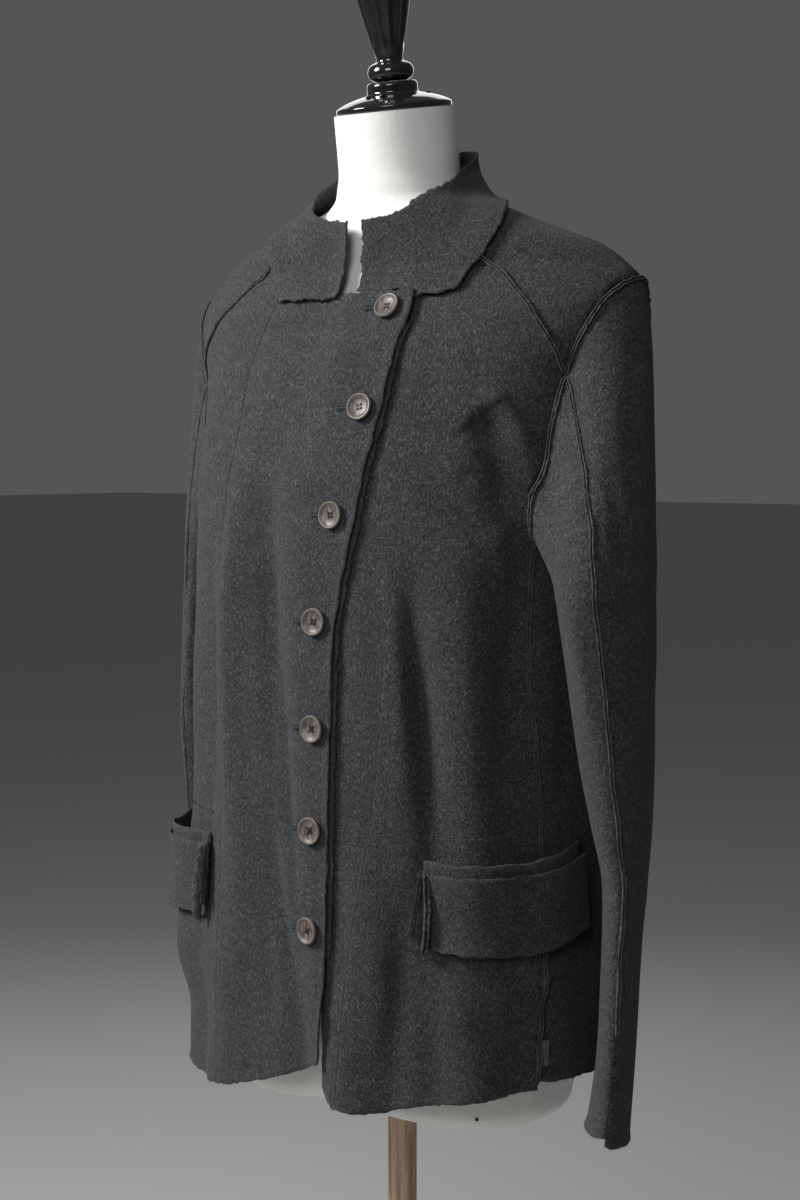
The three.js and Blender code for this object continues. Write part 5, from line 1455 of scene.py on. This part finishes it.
def stitched(name, lines, **values):
    """A mesh of stitches along lines of points in mm, made by the node tree and kept as a plain mesh."""
    points, edges, start = [], [], 0
    for line in lines:
        points.append(line)
        edges += [(start + i, start + i + 1) for i in range(len(line) - 1)]
        start += len(line)
    mesh = bpy.data.meshes.new(name + "_line")
    mesh.from_pydata((np.concatenate(points) * MM).tolist(), edges, [])
    obj = bpy.data.objects.new(name, mesh)
    bpy.context.scene.collection.objects.link(obj)
    maker = obj.modifiers.new("Stitches", "NODES")
    maker.node_group = bpy.data.node_groups.get("Stitch rows") or stitch_nodes()
    sockets = {item.name: item.identifier for item in maker.node_group.interface.items_tree
               if item.item_type == "SOCKET" and item.in_out == "INPUT"}
    for label, value in dict(values, material=thread_material()).items():
        maker[sockets[label.replace("_", " ").capitalize()]] = value
    obj.update_tag()
    bpy.context.view_layer.update()
    made = bpy.data.meshes.new_from_object(obj.evaluated_get(bpy.context.evaluated_depsgraph_get()))
    obj.modifiers.remove(maker)
    obj.data = made
    if not made.materials:
        made.materials.append(thread_material())
    return obj


# ---- sewing ----
# Buttonholes in mm from the middle of their button, and how far each part stands off the cloth's middle.
HOLE_START, HOLE_END, HOLE_LIP, LIP_LIFT = -21, 6, 1.25, 1.5
TACK_PLACE, TACK_REACH, TACK_LIFT = -21.6, 2.7, 1.75
# The slit is a thin dark solid in the thread material on the cloth: painted shade that stands for the open
# buttonhole.
SLIT_WIDE, SLIT_THICK, SLIT_LIFT = 0.85, 0.3, 1.6


def slit_lines(turn, z, low_x, high_x, y, lift):
    x = np.linspace(low_x, high_x, 40)
    flat = np.stack([x, np.full(40, y), np.zeros(40)], 1)
    return placed_at(flat, turn, z, lift)


class CARDIGAN_OT_sewing(Operator):
    """Buttonholes with their bar tacks and a dark slit of painted shade, and the stitch lines over the
    pockets
    """

    bl_idname = "cardigan.sewing"
    bl_label = "Sewing"

    def execute(self, context):
        cloth = settings()
        lips, tacks, slits = [], [], []
        for turn, z in zip(BUTTONS["turn"], BUTTONS["z"]):
            lift = float(right_front_lift(np.array(turn), np.array(z)))
            for y in (-HOLE_LIP, HOLE_LIP):
                lips.append(slit_lines(turn, z, HOLE_START, HOLE_END, y, lift + LIP_LIFT))
            tack = np.array([(TACK_PLACE, -TACK_REACH, 0), (TACK_PLACE, TACK_REACH, 0)])
            tacks.append(placed_at(lerp(tack[0], tack[1], np.linspace(0, 1, 12)[:, None]), turn, z,
                                   lift + TACK_LIFT))
            # Painted shade: a thin dark lens along each buttonhole stands for the shade in its opening.
            ring = np.linspace(0, 2 * np.pi, 9)[:-1]
            loop = np.array([[(x, SLIT_WIDE * math.cos(b) * f, SLIT_THICK * math.sin(b) * f) for b in ring]
                             for x, f in zip(np.linspace(HOLE_START, HOLE_END, 20),
                                             np.sin(np.linspace(0.15, 2.99, 20)) ** 0.3)])
            body, faces = swept(loop)
            slits.append((placed_at(body, turn, z, lift + SLIT_LIFT), faces))
        place(stitched("buttonhole_lips", lips, stitch_length=0.0012, spacing=0.00055, thread_radius=0.00021,
                       upright=1.0, seed=cloth.seed), "wool")
        place(stitched("buttonhole_tacks", tacks, stitch_length=0.0019, spacing=0.0005, thread_radius=0.00024,
                       upright=0.0, seed=cloth.seed + 1), "wool")
        place(mesh_object("buttonhole_slits", *gathered(slits), thread_material(), outwards=True), "wool")
        rows = []
        for side in (1, -1):
            points, _ = on_body(turned(POCKET_LINE, lambda turn: side * turn), 1.45, 160)
            rows.append(points)
        place(stitched("pocket_stitches", rows, stitch_length=cloth.stitch, spacing=cloth.stitch * 1.35,
                       thread_radius=cloth.thread / 2, upright=0.0, seed=cloth.seed + 2), "wool")
        return {"FINISHED"}


# ---- dress form and stand ----
def form_point(turn, z, shrink=0.0):
    turn, z = np.broadcast_arrays(np.asarray(turn, float), np.asarray(z, float))
    flat = section(FORM, turn, z, -shrink)
    slant = math.tan(NECK_LEAN * DEG) * smooth(1395, NECK_TOP_Z, z)
    drop = 12.5 * smooth(745, 630, z) * smooth(0, 70, np.abs(wrap(turn)))
    shift = column(FORM, "z", "shift", z)
    height = z + (flat[..., 1] - shift) * slant - drop
    return np.concatenate([flat, height[..., None]], -1)


class CARDIGAN_OT_form(Operator):
    """Limbless dress form in jersey"""

    bl_idname = "cardigan.form"
    bl_label = "Dress form"

    def execute(self, context):
        around = 136
        z = np.concatenate([630 + 15 * np.linspace(0, 1, 12) ** 1.6, np.linspace(650, 1300, 130),
                            np.linspace(1303, 1461, 90)])
        turn = np.arange(around) * 360 / around
        shrink = 0.9 * smooth(1250, 1300, z) * (1 - smooth(1385, 1400, z))
        rings = form_point(turn[None, :], z[:, None], shrink[:, None])
        for at in (90, -90, 180):
            groove = np.exp(-((wrap(turn - at)[None, :] * 2.2) / 1.6) ** 2) * (z < 1395)[:, None]
            towards = unit(rings * np.array([1, 1, 0]))
            rings = rings - towards * (0.55 * groove)[..., None]
        lower = rings[0]
        inner = [lower * np.array([f, f, 1]) + np.array([0, 0, h]) for f, h in
                 ((0.97, 2.2), (0.9, 4.2), (0.7, 5.5), (0.35, 5.9), (0.06, 0.4))]
        inner[-1][:, 2] = 630.4
        inner[-2][:, 2] = 631.5
        loops = np.concatenate([np.array(inner[::-1]), rings])
        points, faces = swept(loops)
        obj = mesh_object("form_body", points, faces, form_material(), outwards=True)
        obj.data.set_sharp_from_angle(angle=1.0)
        place(obj, "form_cloth", "dress_form")
        tack_points, tack_faces = swept(np.array([
            [(r * math.cos(b), r * math.sin(b), h) for b in np.linspace(0, 2 * np.pi, 15)[:-1]]
            for r, h in ((1.6, -0.2), (1.7, 0.3), (1.2, 0.9), (0.5, 1.15))]))
        tacks = []
        for at in (63, -63, 118, -118, 180):
            here = form_point(np.array(at * 1.0), np.array(643.0))
            out = unit(here * np.array([1, 1, 0]))
            side = np.cross(np.array([0, 0, 1.0]), out)
            tacks.append((here + tack_points[:, :1] * side + tack_points[:, 1:2] * np.array([0, 0, 1.0])
                          + tack_points[:, 2:] * out, tack_faces))
        place(mesh_object("form_tacks", *gathered(tacks), base_material(), outwards=True), "base_metal")
        return {"FINISHED"}


def lathe(profile, segments, flute=None):
    """Loops of a turned solid from r and z rows; flute changes the radius with angle and row."""
    angle = np.linspace(0, 2 * np.pi, segments + 1)[:-1]
    loops = []
    for r, h in profile:
        radius = r if flute is None else r * flute(angle, h)
        loops.append(np.stack([radius * np.cos(angle), radius * np.sin(angle), np.full(segments, h)], 1))
    return np.array(loops)


def rounded(profile, count):
    """More rows along a profile, smooth between its own."""
    rows = table("r h", *profile)
    rows["k"] = np.arange(len(profile), dtype=float)
    k = np.linspace(0, len(profile) - 1, count)
    return list(zip(column(rows, "k", "r", k), column(rows, "k", "h", k)))


def on_neck(points):
    """Moves points from the neck's own axes onto the leaning top of the neck."""
    c, s = math.cos(NECK_LEAN * DEG), math.sin(NECK_LEAN * DEG)
    x, y, z = points[:, 0], points[:, 1], points[:, 2]
    return np.stack([x, y * c - z * s - NECK_FORWARD, y * s + z * c + NECK_TOP_Z + 0.3], 1)


CAP_PROFILE = [(2, 0), (47.6, 0), (48.9, 0.8), (49, 2), (48.9, 3.8), (48, 5), (46.5, 5.9), (40, 9),
               (32, 11.6),
               (25, 13.4), (23, 14), (21.9, 15), (21.5, 16.4), (21.5, 20.6), (20.9, 22.6), (19, 24), (2, 24)]
FINIAL_PROFILE = [(1, 24.3), (12, 24.3), (16, 25.8), (18.6, 28.6), (19.6, 32.5), (18.8, 35.6), (17, 38.2),
                  (13.6, 40), (11.6, 41.2), (11.2, 43.4), (11.6, 46), (13.2, 52), (15, 60), (17.8, 72),
                  (20.5, 84),
                  (22.6, 94), (24, 102), (24.4, 108), (23.4, 112), (20.8, 114.8), (16, 117.2), (8, 119.4),
                  (1, 120)]
BASE_PROFILE = [(2, 0), (197, 0), (199.2, 1.2), (200, 4), (200, 15), (199.2, 18.4), (196.4, 21.6),
                (192, 23.4),
                (180, 24), (110, 25.6), (40, 27.2), (29, 28.4), (24.6, 31), (23, 36), (22, 48.4), (21, 49.7),
                (19, 50), (2, 50)]


class CARDIGAN_OT_stand(Operator):
    """Neck cap, finial, pole and round base"""

    bl_idname = "cardigan.stand"
    bl_label = "Stand"

    def execute(self, context):
        points, faces = swept(lathe(rounded(CAP_PROFILE, 70), 96))
        cap = mesh_object("cap_disc", on_neck(points), faces, lacquer_material(), outwards=True)
        cap.data.set_sharp_from_angle(angle=0.9)
        place(cap, "lacquer", "neck_cap")

        def flute(angle, h):
            deep = 0.085 * float(smooth(46, 62, h)) * (1 - float(smooth(98, 108, h)))
            return 1 - deep * (0.5 + 0.5 * np.cos(12 * angle)) ** 0.6
        points, faces = swept(lathe(rounded(FINIAL_PROFILE, 90), 192, flute))
        place(mesh_object("turned_finial", on_neck(points), faces, lacquer_material(), outwards=True),
              "lacquer",
              "finial")
        screws = []
        for a in (0.35, -0.1, 2.4, 3.9):
            r = 30
            head = lathe([(0.4, 11.6), (2.2, 11.6), (2.5, 12.4), (2.1, 13.5), (1.2, 13.9), (0.3, 14)], 16)
            body, faces = swept(head)
            body = body + np.array([r * math.sin(a), -r * math.cos(a), 0.4])
            screws.append((on_neck(body), faces))
        place(mesh_object("cap_screws", *gathered(screws), lacquer_material(), outwards=True), "lacquer")
        low, high = 50.3, 627.9
        rows = [(1, low), (12.1, low), (12.5, low + 0.6)] + [(12.5, h) for h in np.linspace(low + 6,
                                                                                            high - 2, 24)] \
            + [(12.5, high), (1, high)]
        points, faces = swept(lathe(rows, 64))
        pole = mesh_object("wood_pole", points, faces, beech_material(), outwards=True)
        pole.data.set_sharp_from_angle(angle=0.9)
        place(pole, "beech", "pole")
        points, faces = swept(lathe(rounded(BASE_PROFILE, 80), 128))
        base = mesh_object("round_base", points, faces, base_material(), outwards=True)
        base.data.set_sharp_from_angle(angle=0.9)
        place(base, "base_metal", "base")
        return {"FINISHED"}


# ---- stage ----
CAMERA_TURN, CAMERA_AWAY, CAMERA_Z, CAMERA_DOWN = 38, 2.0, 1.18, 3.8
CAMERA_LENS, SENSOR, CAMERA_SHIFT = 70.0, 36.0, -0.0021
FLOOR_HALF, FLOOR_Z = 40.0, -0.001
SKY, SKY_STRENGTH = (0.30, 0.305, 0.315), 0.3
LIGHT_AIM = (0, 0, 1.05)
# Name, place in m, size in m, watts and tint.
LIGHTS = (("Key", (-1.35, -1.55, 2.4), 0.9, 84, (1, 0.99, 0.97)),
          ("Fill", (1.0, -2.5, 2.5), 1.3, 27, (0.97, 0.98, 1)),
          ("Back", (-1.6, 2.0, 2.3), 2.2, 16, (1, 1, 1)))


def area_light(name, place_at, aim, size, watts, tint):
    light = bpy.data.lights.new(name, "AREA")
    light.shape, light.size, light.energy, light.color = "DISK", size, watts, tint
    obj = bpy.data.objects.new(name, light)
    bpy.context.scene.collection.objects.link(obj)
    way = np.array(aim) - np.array(place_at)
    flat = math.hypot(way[0], way[1])
    obj.location = place_at
    obj.rotation_euler = (math.atan2(flat, -way[2]), 0, math.atan2(-way[0], way[1]))
    return obj


class CARDIGAN_OT_stage(Operator):
    """Floor, studio lights and camera"""

    bl_idname = "cardigan.stage"
    bl_label = "Stage"

    def execute(self, context):
        scene = context.scene
        mesh = bpy.data.meshes.new("floor")
        corners = [(x * FLOOR_HALF, y * FLOOR_HALF, FLOOR_Z) for x, y in ((-1, -1), (1, -1), (1, 1), (-1, 1))]
        mesh.from_pydata(corners, [], [(0, 1, 2, 3)])
        made, tree, shader = new_material("Floor", Roughness=0.7)
        where = add_node(tree, "ShaderNodeTexCoord").outputs["Object"]
        cloud = add_node(tree, "ShaderNodeTexNoise",
                         {"Vector": where, "Scale": 3.0, "Detail": 4.0}).outputs[0]
        tint = colours().floor
        tree.links.new(blend(tree, math_node(tree, "MULTIPLY", cloud, 0.06), (*tint, 1), (0.5, 0.5, 0.5, 1)),
                       shader.inputs["Base Color"])
        mesh.materials.append(made)
        floor = bpy.data.objects.new("floor", mesh)
        scene.collection.objects.link(floor)
        world = bpy.data.worlds.new("Studio")
        world.use_nodes = True
        background = world.node_tree.nodes["Background"]
        background.inputs["Color"].default_value = (*SKY, 1)
        background.inputs["Strength"].default_value = SKY_STRENGTH
        scene.world = world
        for name, place_at, size, watts, tint in LIGHTS:
            area_light(name, place_at, LIGHT_AIM, size, watts, tint)
        camera_data = bpy.data.cameras.new("Camera")
        camera_data.lens, camera_data.sensor_width, camera_data.sensor_fit = CAMERA_LENS, SENSOR, "AUTO"
        camera_data.shift_x = CAMERA_SHIFT
        camera = bpy.data.objects.new("Camera", camera_data)
        scene.collection.objects.link(camera)
        a = CAMERA_TURN * DEG
        camera.location = (CAMERA_AWAY * math.sin(a), -CAMERA_AWAY * math.cos(a), CAMERA_Z)
        camera.rotation_euler = ((90 - CAMERA_DOWN) * DEG, 0, a)
        scene.camera = camera
        scene.view_settings.view_transform = "Standard"
        return {"FINISHED"}


class CARDIGAN_PT_panel(Panel):
    """The pieces and settings of the cardigan"""

    bl_idname = "CARDIGAN_PT_panel"
    bl_label = "Cardigan"
    bl_space_type = "VIEW_3D"
    bl_region_type = "UI"
    bl_category = "Cardigan"

    def draw(self, context):
        for group in (context.scene.cardigan_cloth, context.scene.cardigan_colours):
            box = self.layout.box()
            for name in group.__annotations__:
                box.prop(group, name)
        for operator in OPERATORS:
            self.layout.operator(operator.bl_idname)


OPERATORS = (CARDIGAN_OT_stage, CARDIGAN_OT_form, CARDIGAN_OT_stand, CARDIGAN_OT_fronts, CARDIGAN_OT_back,
             CARDIGAN_OT_collar, CARDIGAN_OT_sleeves, CARDIGAN_OT_pockets, CARDIGAN_OT_seams,
             CARDIGAN_OT_fibres, CARDIGAN_OT_tag, CARDIGAN_OT_buttons, CARDIGAN_OT_sewing)
CLASSES = (CARDIGAN_PG_cloth, CARDIGAN_PG_colours, *OPERATORS, CARDIGAN_PT_panel)


def register():
    for cls in CLASSES:
        bpy.utils.register_class(cls)
    bpy.types.Scene.cardigan_cloth = PointerProperty(type=CARDIGAN_PG_cloth)
    bpy.types.Scene.cardigan_colours = PointerProperty(type=CARDIGAN_PG_colours)


def unregister():
    del bpy.types.Scene.cardigan_colours
    del bpy.types.Scene.cardigan_cloth
    for cls in reversed(CLASSES):
        bpy.utils.unregister_class(cls)


def main():
    register()
    for operator in OPERATORS:
        group, name = operator.bl_idname.split(".")
        getattr(getattr(bpy.ops, group), name)()


if __name__ == "__main__":
    main()
